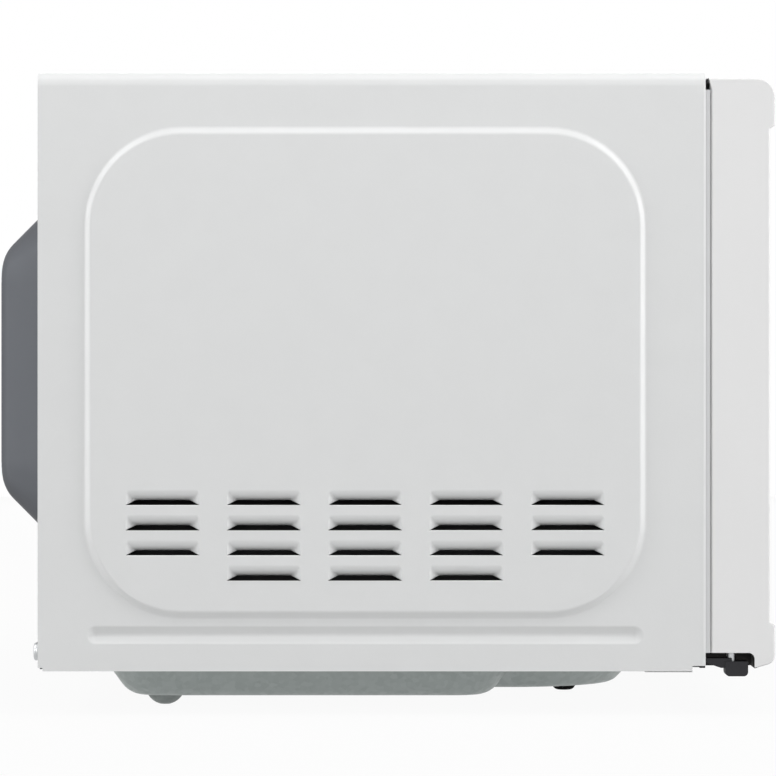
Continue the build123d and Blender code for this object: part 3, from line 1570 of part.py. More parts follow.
with BuildPart() as turntable_motor:
    with BuildSketch(turntable_axis.offset(floor_under_z)):
        Circle(motor_radius)
    extrude(amount=-motor_height)
    with BuildSketch(turntable_axis.offset(floor_under_z)):
        Circle(drive_shaft_radius)
    extrude(amount=tray_z - floor_under_z - coupler_lift)
turntable_motor.part.label = "turntable_motor"
export_step(turntable_motor.part, "parts/turntable_motor.step")

# Drive coupler: three-armed driver on the motor's shaft
with BuildPart() as drive_coupler:
    with BuildSketch(turntable_axis.offset(coupler_z)):
        Circle(coupler_radius)
        with PolarLocations(coupler_arm_length / 2, coupler_arms):
            SlotOverall(coupler_arm_length, coupler_arm_width)
    extrude(amount=tray_z - coupler_z)
    with BuildSketch(turntable_axis.offset(coupler_z)):
        Circle(drive_shaft_radius + shaft_play)
    extrude(amount=tray_z - coupler_z, mode=Mode.SUBTRACT)
drive_coupler.part.label = "drive_coupler"
export_step(drive_coupler.part, "parts/drive_coupler.step")

# Roller ring with three stub axles
ring_outer = track_radius - wheel_width / 2 - ring_gap
axle_length = wheel_width + ring_gap + door_wall

with BuildPart() as roller_ring:
    with BuildSketch(turntable_axis.offset(axle_z - ring_height / 2)):
        Circle(ring_outer)
        Circle(ring_outer - ring_width, mode=Mode.SUBTRACT)
    extrude(amount=ring_height)
    with Locations(turntable_axis.offset(axle_z)):
        with PolarLocations(ring_outer - ring_width / 2, wheel_count):
            Cylinder(
                axle_radius,
                ring_width / 2 + axle_length,
                rotation=(0, 90, 0),
                align=(Align.CENTER, Align.CENTER, Align.MIN),
            )
roller_ring.part.label = "roller_ring"
export_step(roller_ring.part, "parts/roller_ring.step")

# Roller wheels on the ring's axles
for wheel in range(wheel_count):
    with BuildPart() as roller_wheel:
        with Locations(turntable_axis.offset(axle_z)):
            with PolarLocations(track_radius, 1, start_angle=wheel * 360 / wheel_count):
                Cylinder(wheel_radius, wheel_width, rotation=(0, 90, 0))
                Cylinder(
                    axle_radius + shaft_play, wheel_width, rotation=(0, 90, 0), mode=Mode.SUBTRACT
                )
    roller_wheel.part.label = f"roller_wheel_{wheel + 1}"
    export_step(roller_wheel.part, f"parts/roller_wheel_{wheel + 1}.step")

# Glass tray: dished plate with three drive lugs between the coupler's arms
with BuildPart() as glass_tray:
    with BuildSketch(Plane((cavity_mid_x, turntable_y, tray_z), x_dir=(1, 0, 0), z_dir=(0, -1, 0))):
        with BuildLine():
            Polyline(
                (0, 0),
                (tray_flat_radius, 0),
                (tray_radius, tray_rise),
                (tray_radius, tray_rise + tray_thickness),
                (tray_radius - tray_thickness, tray_rise + tray_thickness),
                (tray_flat_radius - tray_thickness / 2, tray_thickness),
                (0, tray_thickness),
                close=True,
            )
        make_face()
    revolve(axis=Axis((cavity_mid_x, turntable_y, 0), (0, 0, 1)))
    with Locations(turntable_axis.offset(tray_z)):
        with PolarLocations(tray_lug_radius, coupler_arms, start_angle=180 / coupler_arms):
            Box(tray_lug, tray_lug, tray_lug, align=(Align.CENTER, Align.CENTER, Align.MAX))
glass_tray.part.label = "glass_tray"
export_step(glass_tray.part, "parts/glass_tray.step")

# Lamp holder: box over the lamp holes, open towards the cavity
lamp_face = Plane((cell_left_x, lamp_y, lamp_z), x_dir=(0, 1, 0), z_dir=(1, 0, 0))

with BuildPart() as lamp_holder:
    with BuildSketch(lamp_face):
        Rectangle(lamp_box_length, lamp_box_height)
    extrude(amount=lamp_box_depth)
    with BuildSketch(lamp_face):
        Rectangle(lamp_box_length - 2 * lamp_box_wall, lamp_box_height - 2 * lamp_box_wall)
    extrude(amount=lamp_box_depth - lamp_box_wall, mode=Mode.SUBTRACT)
lamp_holder.part.label = "lamp_holder"
export_step(lamp_holder.part, "parts/lamp_holder.step")

# Oven lamp: bulb on its base, fixed to the holder's end
bulb_reach = lamp_box_depth - lamp_box_wall - bulb_base_length

with BuildPart(lamp_face.offset(bulb_reach)) as oven_lamp:
    Cylinder(bulb_base_radius, bulb_base_length, align=(Align.CENTER, Align.CENTER, Align.MIN))
    with Locations((0, 0, -bulb_radius / 2)):
        Sphere(bulb_radius)
oven_lamp.part.label = "oven_lamp"
export_step(oven_lamp.part, "parts/oven_lamp.step")

# Thermal cut-out on top of the cavity
cutout_x = cavity_mid_x + cutout_shift_x

with BuildPart(Plane((cutout_x, cutout_y, cavity_top_z + sheet))) as thermal_cutout:
    Box(
        cutout_plate_length,
        cutout_radius,
        cutout_plate,
        align=(Align.CENTER, Align.CENTER, Align.MIN),
    )
    Cylinder(cutout_radius, cutout_height, align=(Align.CENTER, Align.CENTER, Align.MIN))
thermal_cutout.part.label = "thermal_cutout"
export_step(thermal_cutout.part, "parts/thermal_cutout.step")
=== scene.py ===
import json
from math import degrees, pi, radians

import bmesh
import bpy
from mathutils import Euler, Matrix, Vector


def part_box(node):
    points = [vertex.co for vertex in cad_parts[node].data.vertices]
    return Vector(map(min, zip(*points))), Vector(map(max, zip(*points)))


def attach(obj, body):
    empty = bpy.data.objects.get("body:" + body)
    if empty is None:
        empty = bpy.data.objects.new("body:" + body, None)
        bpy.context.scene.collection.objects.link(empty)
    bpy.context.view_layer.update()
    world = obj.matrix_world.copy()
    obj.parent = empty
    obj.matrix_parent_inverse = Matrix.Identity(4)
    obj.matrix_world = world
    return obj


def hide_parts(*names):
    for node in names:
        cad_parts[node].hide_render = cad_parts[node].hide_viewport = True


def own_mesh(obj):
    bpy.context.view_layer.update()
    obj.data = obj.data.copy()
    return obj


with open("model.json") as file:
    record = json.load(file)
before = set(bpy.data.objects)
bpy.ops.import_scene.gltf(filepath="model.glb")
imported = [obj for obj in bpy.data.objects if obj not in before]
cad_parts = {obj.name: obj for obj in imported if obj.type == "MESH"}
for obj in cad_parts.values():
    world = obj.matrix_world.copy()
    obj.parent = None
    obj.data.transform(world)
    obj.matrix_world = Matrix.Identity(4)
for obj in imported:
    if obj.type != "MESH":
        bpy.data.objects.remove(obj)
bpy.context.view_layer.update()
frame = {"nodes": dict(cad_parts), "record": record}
nodes = frame["nodes"]
mm = 0.001


def linear(hexColour):
    # sRGB hex to the linear colour that the shaders take
    values = [int(hexColour[i:i + 2], 16) / 255 for i in (0, 2, 4)]
    return tuple(v / 12.92 if v <= 0.04045 else ((v + 0.055) / 1.055) ** 2.4 for v in values) + (1.0,)


def addNode(tree, kind, settings=None, links=None):
    # settings are the node's own properties by name, or values of its inputs by name or number
    node = tree.nodes.new(kind)
    for key, value in (settings or {}).items():
        if isinstance(key, str) and hasattr(node, key):
            setattr(node, key, value)
        else:
            node.inputs[key].default_value = value
    for key, source in (links or {}).items():
        tree.links.new(source, node.inputs[key])
    return node


def perMm(size):
    # texture scale for a pattern whose features are this many millimetres apart
    return 1 / (size * mm)


# Materials

# node and output that shade a surface in soft patches, in crystals or in fine stripes
patterns = {
    "patches": ("ShaderNodeTexNoise", "Fac", {"Detail": 3.0}),
    "crystals": ("ShaderNodeTexVoronoi", "Color", {}),
    "stripesX": ("ShaderNodeTexWave", "Fac", {"bands_direction": "X", "Distortion": 0.6}),
    "stripesZ": ("ShaderNodeTexWave", "Fac", {"bands_direction": "Z", "Distortion": 0.6}),
}


def surface(name, look):
    # two near shades in a pattern, roughness that drifts with it, and a relief a quarter as deep as its grain
    material = bpy.data.materials.new(name)
    material.use_nodes = True
    tree = material.node_tree
    shader = tree.nodes["Principled BSDF"]
    spot = addNode(tree, "ShaderNodeTexCoord").outputs["Object"]
    kind, output, extra = patterns[look.get("pattern", "patches")]
    texture = addNode(tree, kind, {"Scale": perMm(look["patchMm"]), **extra}, {"Vector": spot})
    pattern = texture.outputs[output]
    shadeA, shadeB = look["shades"]
    shades = addNode(
        tree, "ShaderNodeMix", {"data_type": "RGBA", "A": linear(shadeA), "B": linear(shadeB)},
        {"Factor": pattern},
    )
    polish = addNode(
        tree, "ShaderNodeMapRange", {"To Min": look["rough"][0], "To Max": look["rough"][1]},
        {"Value": pattern},
    )
    grain = addNode(
        tree, "ShaderNodeTexNoise", {"Scale": perMm(look["grainMm"]), "Detail": 2.0}, {"Vector": spot},
    )
    relief = addNode(
        tree, "ShaderNodeBump", {"Strength": look["relief"], "Distance": look["grainMm"] * mm / 4},
        {"Height": grain.outputs["Fac"]},
    )
    tree.links.new(shades.outputs["Result"], shader.inputs["Base Color"])
    tree.links.new(polish.outputs["Result"], shader.inputs["Roughness"])
    tree.links.new(relief.outputs["Normal"], shader.inputs["Normal"])
    for socket, value in look.get("sockets", {}).items():
        shader.inputs[socket].default_value = value
    return material


# powder coat on sheet steel: even white with a faint orange peel that softens reflections
powderCoat = surface("powderCoatWhite", {
    "shades": ("DDDEDE", "DADBDB"), "patchMm": 14, "rough": (0.29, 0.33), "grainMm": 1.2, "relief": 0.05,
})

# moulded ABS: slightly brighter white, fine spark-eroded grain, drawn coarser than real so that it shows
mouldedAbs = surface("mouldedAbsWhite", {
    "shades": ("E6E6E6", "E2E2E2"), "patchMm": 50, "rough": (0.36, 0.42), "grainMm": 0.7, "relief": 0.08,
})

# grey stoving enamel on the drawn back: dark, satin, with a fine texture
rearEnamel = surface("stovedEnamelGrey", {
    "shades": ("64676C", "686B70"), "patchMm": 12, "rough": (0.45, 0.55), "grainMm": 0.9, "relief": 0.12,
    "sockets": {"Specular IOR Level": 0.15},
})

# hot-dip galvanised steel: crystals of zinc that each mirror the light a little differently
galvanised = surface("galvanisedSteel", {
    "shades": ("A9B0AE", "9FA6A4"), "pattern": "crystals", "patchMm": 2.2, "rough": (0.40, 0.52),
    "grainMm": 2.5, "relief": 0.05, "sockets": {"Metallic": 0.5},
})

# the pan's domed feet: zinc darkened and dulled as painted shade where they stand close to the floor
footShadeZinc = surface("footShadeZinc", {
    "shades": ("8F9593", "868C8A"), "pattern": "crystals", "patchMm": 2.2, "rough": (0.50, 0.60),
    "grainMm": 1.5, "relief": 0.08, "sockets": {"Metallic": 0.5},
})

# cavity enamel: pale grey acrylic over steel, wiped smooth
cavityEnamel = surface("cavityEnamelGrey", {
    "shades": ("BEC0C1", "B6B8BA"), "patchMm": 25, "rough": (0.30, 0.38), "grainMm": 1.0, "relief": 0.06,
})

# front plate behind the door: powder coat again, in a greyer and slightly duller white, the grey partly
# painted shade for the strip seen in the gap beside the door
plateCoat = surface("powderCoatGrey", {
    "shades": ("D6D7D8", "D2D3D4"), "patchMm": 14, "rough": (0.34, 0.40), "grainMm": 1.2, "relief": 0.05,
})

# ring over the door's choke: pale grey polypropylene with a soft sheen, the pale grey being painted light
# that brightens the shadowed gap beside the door
chokeRingLight = surface("paintedLightPolypropylene", {
    "shades": ("C8CACB", "C2C4C5"), "patchMm": 16, "rough": (0.42, 0.50), "grainMm": 0.8, "relief": 0.08,
})

# black oxide on the lower hinge and the door's plate: nearly matte, with grey where it was rubbed
blackSteel = surface("blackOxideSteel", {
    "shades": ("131317", "1B1B20"), "patchMm": 3, "rough": (0.45, 0.60), "grainMm": 0.5, "relief": 0.15,
    "sockets": {"Specular IOR Level": 0.35},
})

# black polycarbonate mouldings: deep, slightly glossy
blackPlastic = surface("blackPolycarbonate", {
    "shades": ("141516", "191A1B"), "patchMm": 20, "rough": (0.38, 0.46), "grainMm": 0.8, "relief": 0.10,
})

# natural acetal: milky, with a soft sheen
naturalPlastic = surface("naturalAcetal", {
    "shades": ("DAD6C8", "D2CEBF"), "patchMm": 15, "rough": (0.45, 0.52), "grainMm": 0.9, "relief": 0.08,
    "sockets": {"Subsurface Weight": 0.05},
})

# glass-filled nylon of the roller wheels: mid grey, a little dry
greyPlastic = surface("greyNylon", {
    "shades": ("8C8E90", "86888A"), "patchMm": 12, "rough": (0.45, 0.52), "grainMm": 0.9, "relief": 0.08,
})

# bright zinc on screws, pins and motor cans: silvery, with sharp glints
zincPlate = surface("brightZinc", {
    "shades": ("C9CBCC", "BDBFC1"), "patchMm": 6, "rough": (0.29, 0.38), "grainMm": 0.6, "relief": 0.05,
    "sockets": {"Metallic": 1.0},
})

# nitrile rubber: dead black and matt, drinks in the light
footRubber = surface("nitrileRubber", {
    "shades": ("040505", "070808"), "patchMm": 4, "rough": (0.62, 0.75), "grainMm": 0.6, "relief": 0.25,
    "sockets": {"Specular IOR Level": 0.05},
})

# fibreglass board under solder mask: bottle green, with the weave faintly in it
boardGreen = surface("fibreglassBoard", {
    "shades": ("1F5A35", "2A6C42"), "patchMm": 3, "rough": (0.35, 0.50), "grainMm": 1.5, "relief": 0.10,
})

# stack of stamped sheets: dark edges with lines of light between them
coreSteel = surface("laminatedSteel", {
    "shades": ("66686C", "3D3E42"), "pattern": "stripesX", "patchMm": 3.2, "rough": (0.40, 0.60),
    "grainMm": 0.8, "relief": 0.20, "sockets": {"Metallic": 0.6},
})

# turns of varnished wire, one above the other
copperWire = surface("enamelledCopper", {
    "shades": ("B4602F", "82401C"), "pattern": "stripesZ", "patchMm": 3.2, "rough": (0.28, 0.40),
    "grainMm": 1.0, "relief": 0.40, "sockets": {"Metallic": 0.7},
})

# pressed aluminium of fins and capacitor can: pale metal, slightly brushed by the tool
finAluminium = surface("pressedAluminium", {
    "shades": ("D3D5D6", "C6C8CA"), "patchMm": 5, "rough": (0.28, 0.42), "grainMm": 0.8, "relief": 0.06,
    "sockets": {"Metallic": 1.0},
})

# mica sheet: buff flakes that shine unevenly
micaSheet = surface("micaSheet", {
    "shades": ("BFB39A", "A89B80"), "patchMm": 4, "rough": (0.35, 0.60), "grainMm": 1.2, "relief": 0.20,
})

# printed polyester film of the keypad: pale cool grey with a fine matt
keypadFilm = surface("printedPolyester", {
    "shades": ("D6D8DA", "D2D4D6"), "patchMm": 40, "rough": (0.40, 0.46), "grainMm": 0.6, "relief": 0.05,
})

# smoked acrylic over the display: nearly black and polished
displayTint = surface("smokedAcrylic", {
    "shades": ("0C1210", "0F1513"), "patchMm": 30, "rough": (0.10, 0.14), "grainMm": 2.0, "relief": 0.02,
})


def glassLook(name, shades, rough, relief, through=1.0):
    return surface(name, {
        "shades": shades, "patchMm": 40, "rough": rough, "grainMm": 6, "relief": relief,
        "sockets": {"Transmission Weight": through, "IOR": 1.5},
    })


# door window: float glass with a grey tint, flat and clear
# tray: pressed soda glass, faintly green and a little milky, so that it shows in the dim cavity
# screen cover: polyester sheet, clear and colourless
# lamp: blown glass, warm and thin
windowGlass = glassLook("tintedGlass", ("868C91", "8B9196"), (0.04, 0.07), 0.002)
trayGlass = glassLook("pressedGlass", ("EAF4F1", "E2EFEB"), (0.03, 0.06), 0.02, 0.65)
clearSheet = glassLook("clearPolyester", ("F2F4F4", "EEF0F0"), (0.04, 0.07), 0.004)
lampGlass = glassLook("bulbGlass", ("FFF6E4", "FBF0DA"), (0.02, 0.04), 0.01)


def overlay(tree, kept, shade):
    # shade that shows wherever the mask is nought
    colour = tree.nodes["Principled BSDF"].inputs["Base Color"]
    mix = addNode(
        tree, "ShaderNodeMix", {"data_type": "RGBA", "A": linear(shade)},
        {"Factor": kept, "B": colour.links[0].from_socket},
    )
    tree.links.new(mix.outputs["Result"], colour)


# the drawn back: painted shade darkens its rounded rim and its rear face against its paler flanks, by how far
# each face turns from the side
rimShadeSettings = {"turn": (0.30, 0.62), "shade": "43464C"}
tree = rearEnamel.node_tree
normal = addNode(tree, "ShaderNodeTexCoord").outputs["Normal"]
parts = addNode(tree, "ShaderNodeSeparateXYZ", {}, {"Vector": normal})
sideways = addNode(tree, "ShaderNodeMath", {"operation": "ABSOLUTE"}, {0: parts.outputs["X"]})
flank = addNode(
    tree, "ShaderNodeMapRange", {"From Min": rimShadeSettings["turn"][0], "From Max": rimShadeSettings["turn"][1]},
    {"Value": sideways.outputs[0]},
)
overlay(tree, flank.outputs["Result"], rimShadeSettings["shade"])

# black border fired on the window round the clear middle, in millimetres from the origin
borderSettings = {"middle": (-50.25, 139.0), "half": (128.0, 75.0), "shade": "08090A"}
tree = windowGlass.node_tree
spot = addNode(tree, "ShaderNodeTexCoord").outputs["Object"]
parts = addNode(tree, "ShaderNodeSeparateXYZ", {}, {"Vector": spot})
clear = addNode(tree, "ShaderNodeMath", {"operation": "MULTIPLY"})
for index, axis in enumerate("XZ"):
    middle = borderSettings["middle"][index] * mm
    half = borderSettings["half"][index] * mm
    band = addNode(
        tree, "ShaderNodeMath", {"operation": "COMPARE", 1: middle, 2: half}, {0: parts.outputs[axis]},
    )
    tree.links.new(band.outputs[0], clear.inputs[index])
tree.links.new(clear.outputs[0], tree.nodes["Principled BSDF"].inputs["Transmission Weight"])
overlay(tree, clear.outputs[0], borderSettings["shade"])

# screen of the door: enamelled sheet, pierced in a staggered grid of holes, drawn as black dots of painted
# shade for the dark seen through them
screenSettings = {"pitchMm": 2.4, "hole": 0.31, "shade": "0B0C0D"}
screenSheet = surface("piercedSteel", {
    "shades": ("7C8084", "74787C"), "patchMm": 20, "rough": (0.40, 0.50), "grainMm": 1.0, "relief": 0.06,
})
tree = screenSheet.node_tree
spot = addNode(tree, "ShaderNodeTexCoord").outputs["Object"]
turned = addNode(tree, "ShaderNodeMapping", {"Rotation": (pi / 2, 0, pi / 4)}, {"Vector": spot})
grid = addNode(
    tree, "ShaderNodeTexVoronoi",
    {"voronoi_dimensions": "2D", "Scale": perMm(screenSettings["pitchMm"]), "Randomness": 0.0},
    {"Vector": turned.outputs[0]},
)
web = addNode(
    tree, "ShaderNodeMath", {"operation": "GREATER_THAN", 1: screenSettings["hole"]},
    {0: grid.outputs["Distance"]},
)
overlay(tree, web.outputs[0], screenSettings["shade"])

# key tops of the film: whiter than its ground, with the same fine matt
keyFilm = surface("embossedPolyester", {
    "shades": ("E9EAEB", "E5E6E7"), "patchMm": 12, "rough": (0.40, 0.46), "grainMm": 0.6, "relief": 0.05,
})

# printing ink: flat dark grey, a little uneven
printInk = surface("screenInk", {
    "shades": ("2C2E31", "383A3D"), "patchMm": 1.5, "rough": (0.55, 0.65), "grainMm": 0.4, "relief": 0.05,
})

# lit segments behind the lens: pale green, glowing softly
segmentGlow = surface("litSegments", {
    "shades": ("8FE8C4", "A4F0D2"), "patchMm": 3, "rough": (0.50, 0.60), "grainMm": 0.8, "relief": 0.02,
    "sockets": {"Emission Color": linear("8FE8C4"), "Emission Strength": 0.6},
})

# back of the coated sheet, outside of the cavity and the screw recesses: a dull near-black coat of painted
# shade, so that the louvre slots and recesses read black
shadeCoat = surface("shadeDarkCoat", {
    "shades": ("202122", "292A2B"), "patchMm": 14, "rough": (0.60, 0.75), "grainMm": 1.5, "relief": 0.10,
})

# hinge pocket: painted shade, black with a faint brown cast
hingePocketShade = surface("pocketShadeBlack", {
    "shades": ("0D0A09", "15100E"), "patchMm": 6, "rough": (0.55, 0.65), "grainMm": 0.8, "relief": 0.10,
})

finishes = {
    "white_painted_steel": powderCoat,
    "grey_painted_steel": rearEnamel,
    "galvanised_steel": galvanised,
    "cavity_enamel": cavityEnamel,
    "white_moulding": mouldedAbs,
    "black_moulding": blackPlastic,
    "grey_moulding": greyPlastic,
    "natural_moulding": naturalPlastic,
    "black_steel": blackSteel,
    "bright_steel": zincPlate,
    "window_glass": windowGlass,
    "clear_sheet": clearSheet,
    "tray_glass": trayGlass,
    "keypad_film": keypadFilm,
    "display_tint": displayTint,
    "circuit_board": boardGreen,
    "lamination": coreSteel,
    "copper_coil": copperWire,
    "aluminium_fin": finAluminium,
    "capacitor_can": finAluminium,
    "mica_sheet": micaSheet,
    "foot_rubber": footRubber,
    "lamp_glass": lampGlass,
    "motor_case": zincPlate,
}
slotOf = {part["node"]: part["material_slot"] for part in frame["record"]["subparts"]}
bodyOf = {node: body for body, group in frame["record"]["behaviour"]["bodies"].items() for node in group}
for name, node in nodes.items():
    node.data.materials.clear()
    node.data.materials.append(finishes[slotOf[name]])
print("materials set on", len(nodes), "nodes")

# Soft copies: the CAD pieces that show, with their pressed creases and cut edges rounded


def place(name, bm, materials, body):
    mesh = bpy.data.meshes.new(name)
    bm.to_mesh(mesh)
    bm.free()
    for material in materials:
        mesh.materials.append(material)
    piece = bpy.data.objects.new(name, mesh)
    bpy.context.scene.collection.objects.link(piece)
    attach(piece, body)
    return piece


def within(point, box):
    return all(low * mm <= value <= high * mm for value, (low, high) in zip(point, box))


def inside(box):
    # test of a point against a box in millimetres
    return lambda point: within(point, box)


meshSettings = {"doubles": 0.002, "flat": 0.6, "sharp": 50}  # millimetres, degrees, degrees


def softCopy(node, soft):
    bm = bmesh.new()
    bm.from_mesh(nodes[node].data)
    bm.transform(nodes[node].matrix_world)
    bmesh.ops.remove_doubles(bm, verts=bm.verts, dist=meshSettings["doubles"] * mm)
    bmesh.ops.dissolve_limit(
        bm, angle_limit=radians(meshSettings["flat"]), verts=bm.verts, edges=bm.edges,
    )
    if "cut" in soft:
        # upright cut that lets a rounding stop short of a crowded corner
        bmesh.ops.bisect_plane(
            bm, geom=bm.verts[:] + bm.edges[:] + bm.faces[:],
            plane_co=(0, soft["cut"] * mm, 0), plane_no=(0, 1, 0),
        )
    for low, high, width, segments, wanted, *free in soft["rounds"]:
        chosen = [
            edge for edge in bm.edges
            if low <= degrees(edge.calc_face_angle(0)) < high
            and wanted((edge.verts[0].co + edge.verts[1].co) / 2)
        ]
        bmesh.ops.bevel(
            bm, geom=chosen, offset=width * mm, offset_type="OFFSET", segments=segments, profile=0.5,
            affect="EDGES", clamp_overlap=not free, material=-1,
        )
    bm.normal_update()
    materials = [finishes[slotOf[node]]]
    for material, wanted in soft.get("paint", []):
        materials.append(material)
        for face in bm.faces:
            if wanted(face):
                face.material_index = len(materials) - 1
    for face in bm.faces:
        face.smooth = True
    piece = place(soft["name"], bm, materials, bodyOf[node])
    piece.data.set_sharp_from_angle(angle=radians(soft.get("sharp", meshSettings["sharp"])))
    weighted = piece.modifiers.new("weightedNormals", "WEIGHTED_NORMAL")
    weighted.keep_sharp = True
    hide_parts(node)
    return piece


coverLow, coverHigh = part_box("cabinet_cover")
cabinetMiddle = (coverLow + coverHigh) / 2

# places on the pieces, as boxes and distances in millimetres
coverSettings = {
    "louvres": ((-230, 230), (-95, 106), (48, 95)),
    "raised": ((-230, 230), (-131, 139), (38, 262)),
    "groove": ((-230, 230), (-131, 139), (26, 38)),
    "hem": ((-230, 230), (-133.7, -133.2), (15, 270)),
    "panelIn": 0.2,  # how far inside the cover's box an edge still lies on panel, side, top or front
    "sideIn": 2.3,
    "topIn": 0.3,
    "frontIn": 0.5,
}
doorSettings = {
    "moulding": ((-230, 130), (-165, -138), (15, 265)),
    "hingeSide": ((-219.6, -219.4), (-165, -135.4), (19, 265)),
    "hingeCut": ((-230, -200), (-154.2, -130), (15, 26)),
    "pocket": ((-219.3, -198), (-155, -136.5), (18, 25.9)),
    "screen": ((-191, 91), (-138, -136), (51, 227)),
    "screenFacing": 0.9,
    "cut": -135.3,
}
panelSide = ((219.4, 219.6), (-165, -134.2), (15, 265))
rearDraw = ((-230, 230), (130, 145), (15, 270))
panDraw = ((-205, 205), (-131, 134), (2, 30))
feetTop = 4.4
cavityMiddle = Vector((-52, 0, 140)) * mm
planeGap = 2 * mm  # how far a face's plane has to lie from the middle to count as turned in or out


def facesInwards(face):
    return face.normal.dot(face.calc_center_median() - cabinetMiddle) < -planeGap


def facesOutwards(face):
    return face.normal.dot(face.calc_center_median() - cavityMiddle) > planeGap


def onScreen(face):
    # front and back of the flat sheet inside the choke
    flat = abs(face.normal.y) > doorSettings["screenFacing"]
    return flat and within(face.calc_center_median(), doorSettings["screen"])


def inPocket(face):
    return within(face.calc_center_median(), doorSettings["pocket"])


def onFeet(face):
    # lower part of the domed feet
    return face.calc_center_median().z < feetTop * mm


def everywhere(item):
    return True


def onEmboss(point):
    # slopes round the raised panels, clear of the louvres and the groove
    return within(point, coverSettings["raised"]) and not within(point, coverSettings["louvres"])


def onSlotRim(point):
    # edge of each louvre's slot that lies in the raised panel
    onPanel = abs(point.x) > coverHigh.x - coverSettings["panelIn"] * mm
    return onPanel and within(point, coverSettings["louvres"])


def onHem(point):
    # outer corner of the cover's front edge
    atFront = abs(point.y - coverLow.y) < coverSettings["frontIn"] * mm
    atSide = abs(point.x) > coverHigh.x - coverSettings["sideIn"] * mm
    return atFront and (atSide or point.z > coverHigh.z - coverSettings["topIn"] * mm)


def onDoorRim(point):
    # outline of the door's hinge side, from the hinge pocket round the front to the top
    return within(point, doorSettings["hingeSide"]) and not within(point, doorSettings["hingeCut"])


# rounds: lowest and highest crease in degrees (181 for no limit), width in millimetres, steps, which edges,
# and free where one tight edge doesn't hold back the others
softSettings = {
    "cabinet_cover": {
        "name": "coverSheet",
        # inner faces of the cover in the near-black of painted shade
        "paint": [(shadeCoat, facesInwards)],
        "rounds": [
            (21, 80, 0.22, 2, inside(coverSettings["louvres"]), "free"),
            (80, 100, 0.4, 2, onSlotRim, "free"),
            (20, 45, 0.7, 3, onEmboss, "free"),
            (20, 45, 0.45, 2, inside(coverSettings["groove"]), "free"),
            (80, 181, 0.55, 1, onHem, "free"),
            (30, 60, 0.7, 4, inside(coverSettings["hem"]), "free"),
        ],
    },
    "door_frame": {
        "name": "doorMoulding",
        "cut": doorSettings["cut"],
        "rounds": [
            (80, 100, 0.7, 3, onDoorRim, "free"),
            (50, 181, 0.5, 2, inside(doorSettings["moulding"])),
        ],
        # faces of the hinge pocket painted black as shade
        "paint": [(hingePocketShade, inPocket)],
    },
    # outer faces of both cavity walls in the near-black of painted shade
    "cavity_left_wall": {
        "name": "cavityLeft", "rounds": [(50, 181, 0.15, 1, everywhere)],
        "paint": [(shadeCoat, facesOutwards)],
    },
    "cavity_right_wall": {
        "name": "cavityRight", "rounds": [], "paint": [(shadeCoat, facesOutwards)],
    },
    "control_panel": {
        "name": "controlMoulding",
        "rounds": [
            (80, 100, 0.7, 3, inside(panelSide), "free"),
            (50, 181, 0.4, 2, everywhere),
        ],
    },
    "release_button": {"name": "buttonCap", "rounds": [(50, 181, 0.3, 2, everywhere)]},
    "rear_panel": {
        "name": "rearSheet", "rounds": [(40, 70, 2.0, 3, inside(rearDraw))],
        "paint": [(cavityEnamel, facesInwards)],
    },
    "base_plate": {
        "name": "basePan", "rounds": [(25, 60, 1.2, 3, inside(panDraw))],
        # lower part of the feet in the darker zinc of painted shade
        "paint": [(footShadeZinc, onFeet)],
    },
    "front_plate": {
        "name": "frontSheet", "rounds": [(60, 181, 0.12, 1, everywhere)], "paint": [(plateCoat, everywhere)],
    },
    "hinge_lower": {"name": "hingeArm", "rounds": [(50, 181, 0.3, 2, everywhere)]},
    "glass_tray": {"name": "trayGlass", "rounds": [(50, 181, 0.6, 2, everywhere)], "sharp": 60},
    # choke cover in pale grey as painted light for the gap beside the door
    "choke_cover": {
        "name": "chokeRing", "rounds": [(40, 181, 0.3, 2, everywhere)], "paint": [(chokeRingLight, everywhere)],
    },
    "door_plate": {
        "name": "doorScreen", "rounds": [(50, 181, 0.4, 2, everywhere)], "paint": [(screenSheet, onScreen)],
    },
    "door_window": {"name": "windowPane", "rounds": [(60, 181, 0.3, 2, everywhere)]},
    "display_lens": {"name": "displayLens", "rounds": [(60, 181, 0.2, 2, everywhere)]},
    "keypad_sheet": {"name": "keypadFilm", "rounds": [(60, 181, 0.1, 1, everywhere)]},
    "rubber_feet": {"name": "rubberFeet", "rounds": [(60, 181, 0.4, 2, everywhere)]},
    "cover_screws": {"name": "screwHeads", "rounds": [(60, 181, 0.3, 2, everywhere)]},
    "cord_bush": {"name": "cordGrommet", "rounds": [(60, 181, 0.5, 2, everywhere)]},
    "hinge_upper": {"name": "hingeTop", "rounds": [(60, 181, 0.3, 2, everywhere)]},
    "latch_hook": {"name": "latchBar", "rounds": [(60, 181, 0.25, 2, everywhere)]},
    "drive_coupler": {"name": "driveHub", "rounds": [(60, 181, 0.4, 2, everywhere)]},
    "roller_ring": {"name": "rollerFrame", "rounds": [(60, 181, 0.4, 2, everywhere)]},
    "roller_wheel_1": {"name": "rollerOne", "rounds": [(60, 181, 0.4, 2, everywhere)]},
    "roller_wheel_2": {"name": "rollerTwo", "rounds": [(60, 181, 0.4, 2, everywhere)]},
    "roller_wheel_3": {"name": "rollerThree", "rounds": [(60, 181, 0.4, 2, everywhere)]},
}
for node, soft in softSettings.items():
    piece = softCopy(node, soft)
    print("softened", node, len(piece.data.polygons), "faces")

# Keypad: raised film keys with generic figures and plain signs, and the lit time on the display


def lettering(bm, text, height, point, depth):
    # text as a mesh that faces the front, its middle at a point given in millimetres
    curve = bpy.data.curves.new("legend", "FONT")
    curve.body = text
    curve.size = height * mm
    curve.extrude = depth * mm / 2
    curve.align_x = "CENTER"
    curve.align_y = "CENTER"
    holder = bpy.data.objects.new("legend", curve)
    mesh = bpy.data.meshes.new_from_object(holder)
    mesh.transform(Matrix.LocRotScale(Vector(point) * mm, Euler((pi / 2, 0, 0)), None))
    bm.from_mesh(mesh)
    bpy.data.objects.remove(holder)
    bpy.data.curves.remove(curve)
    bpy.data.meshes.remove(mesh)


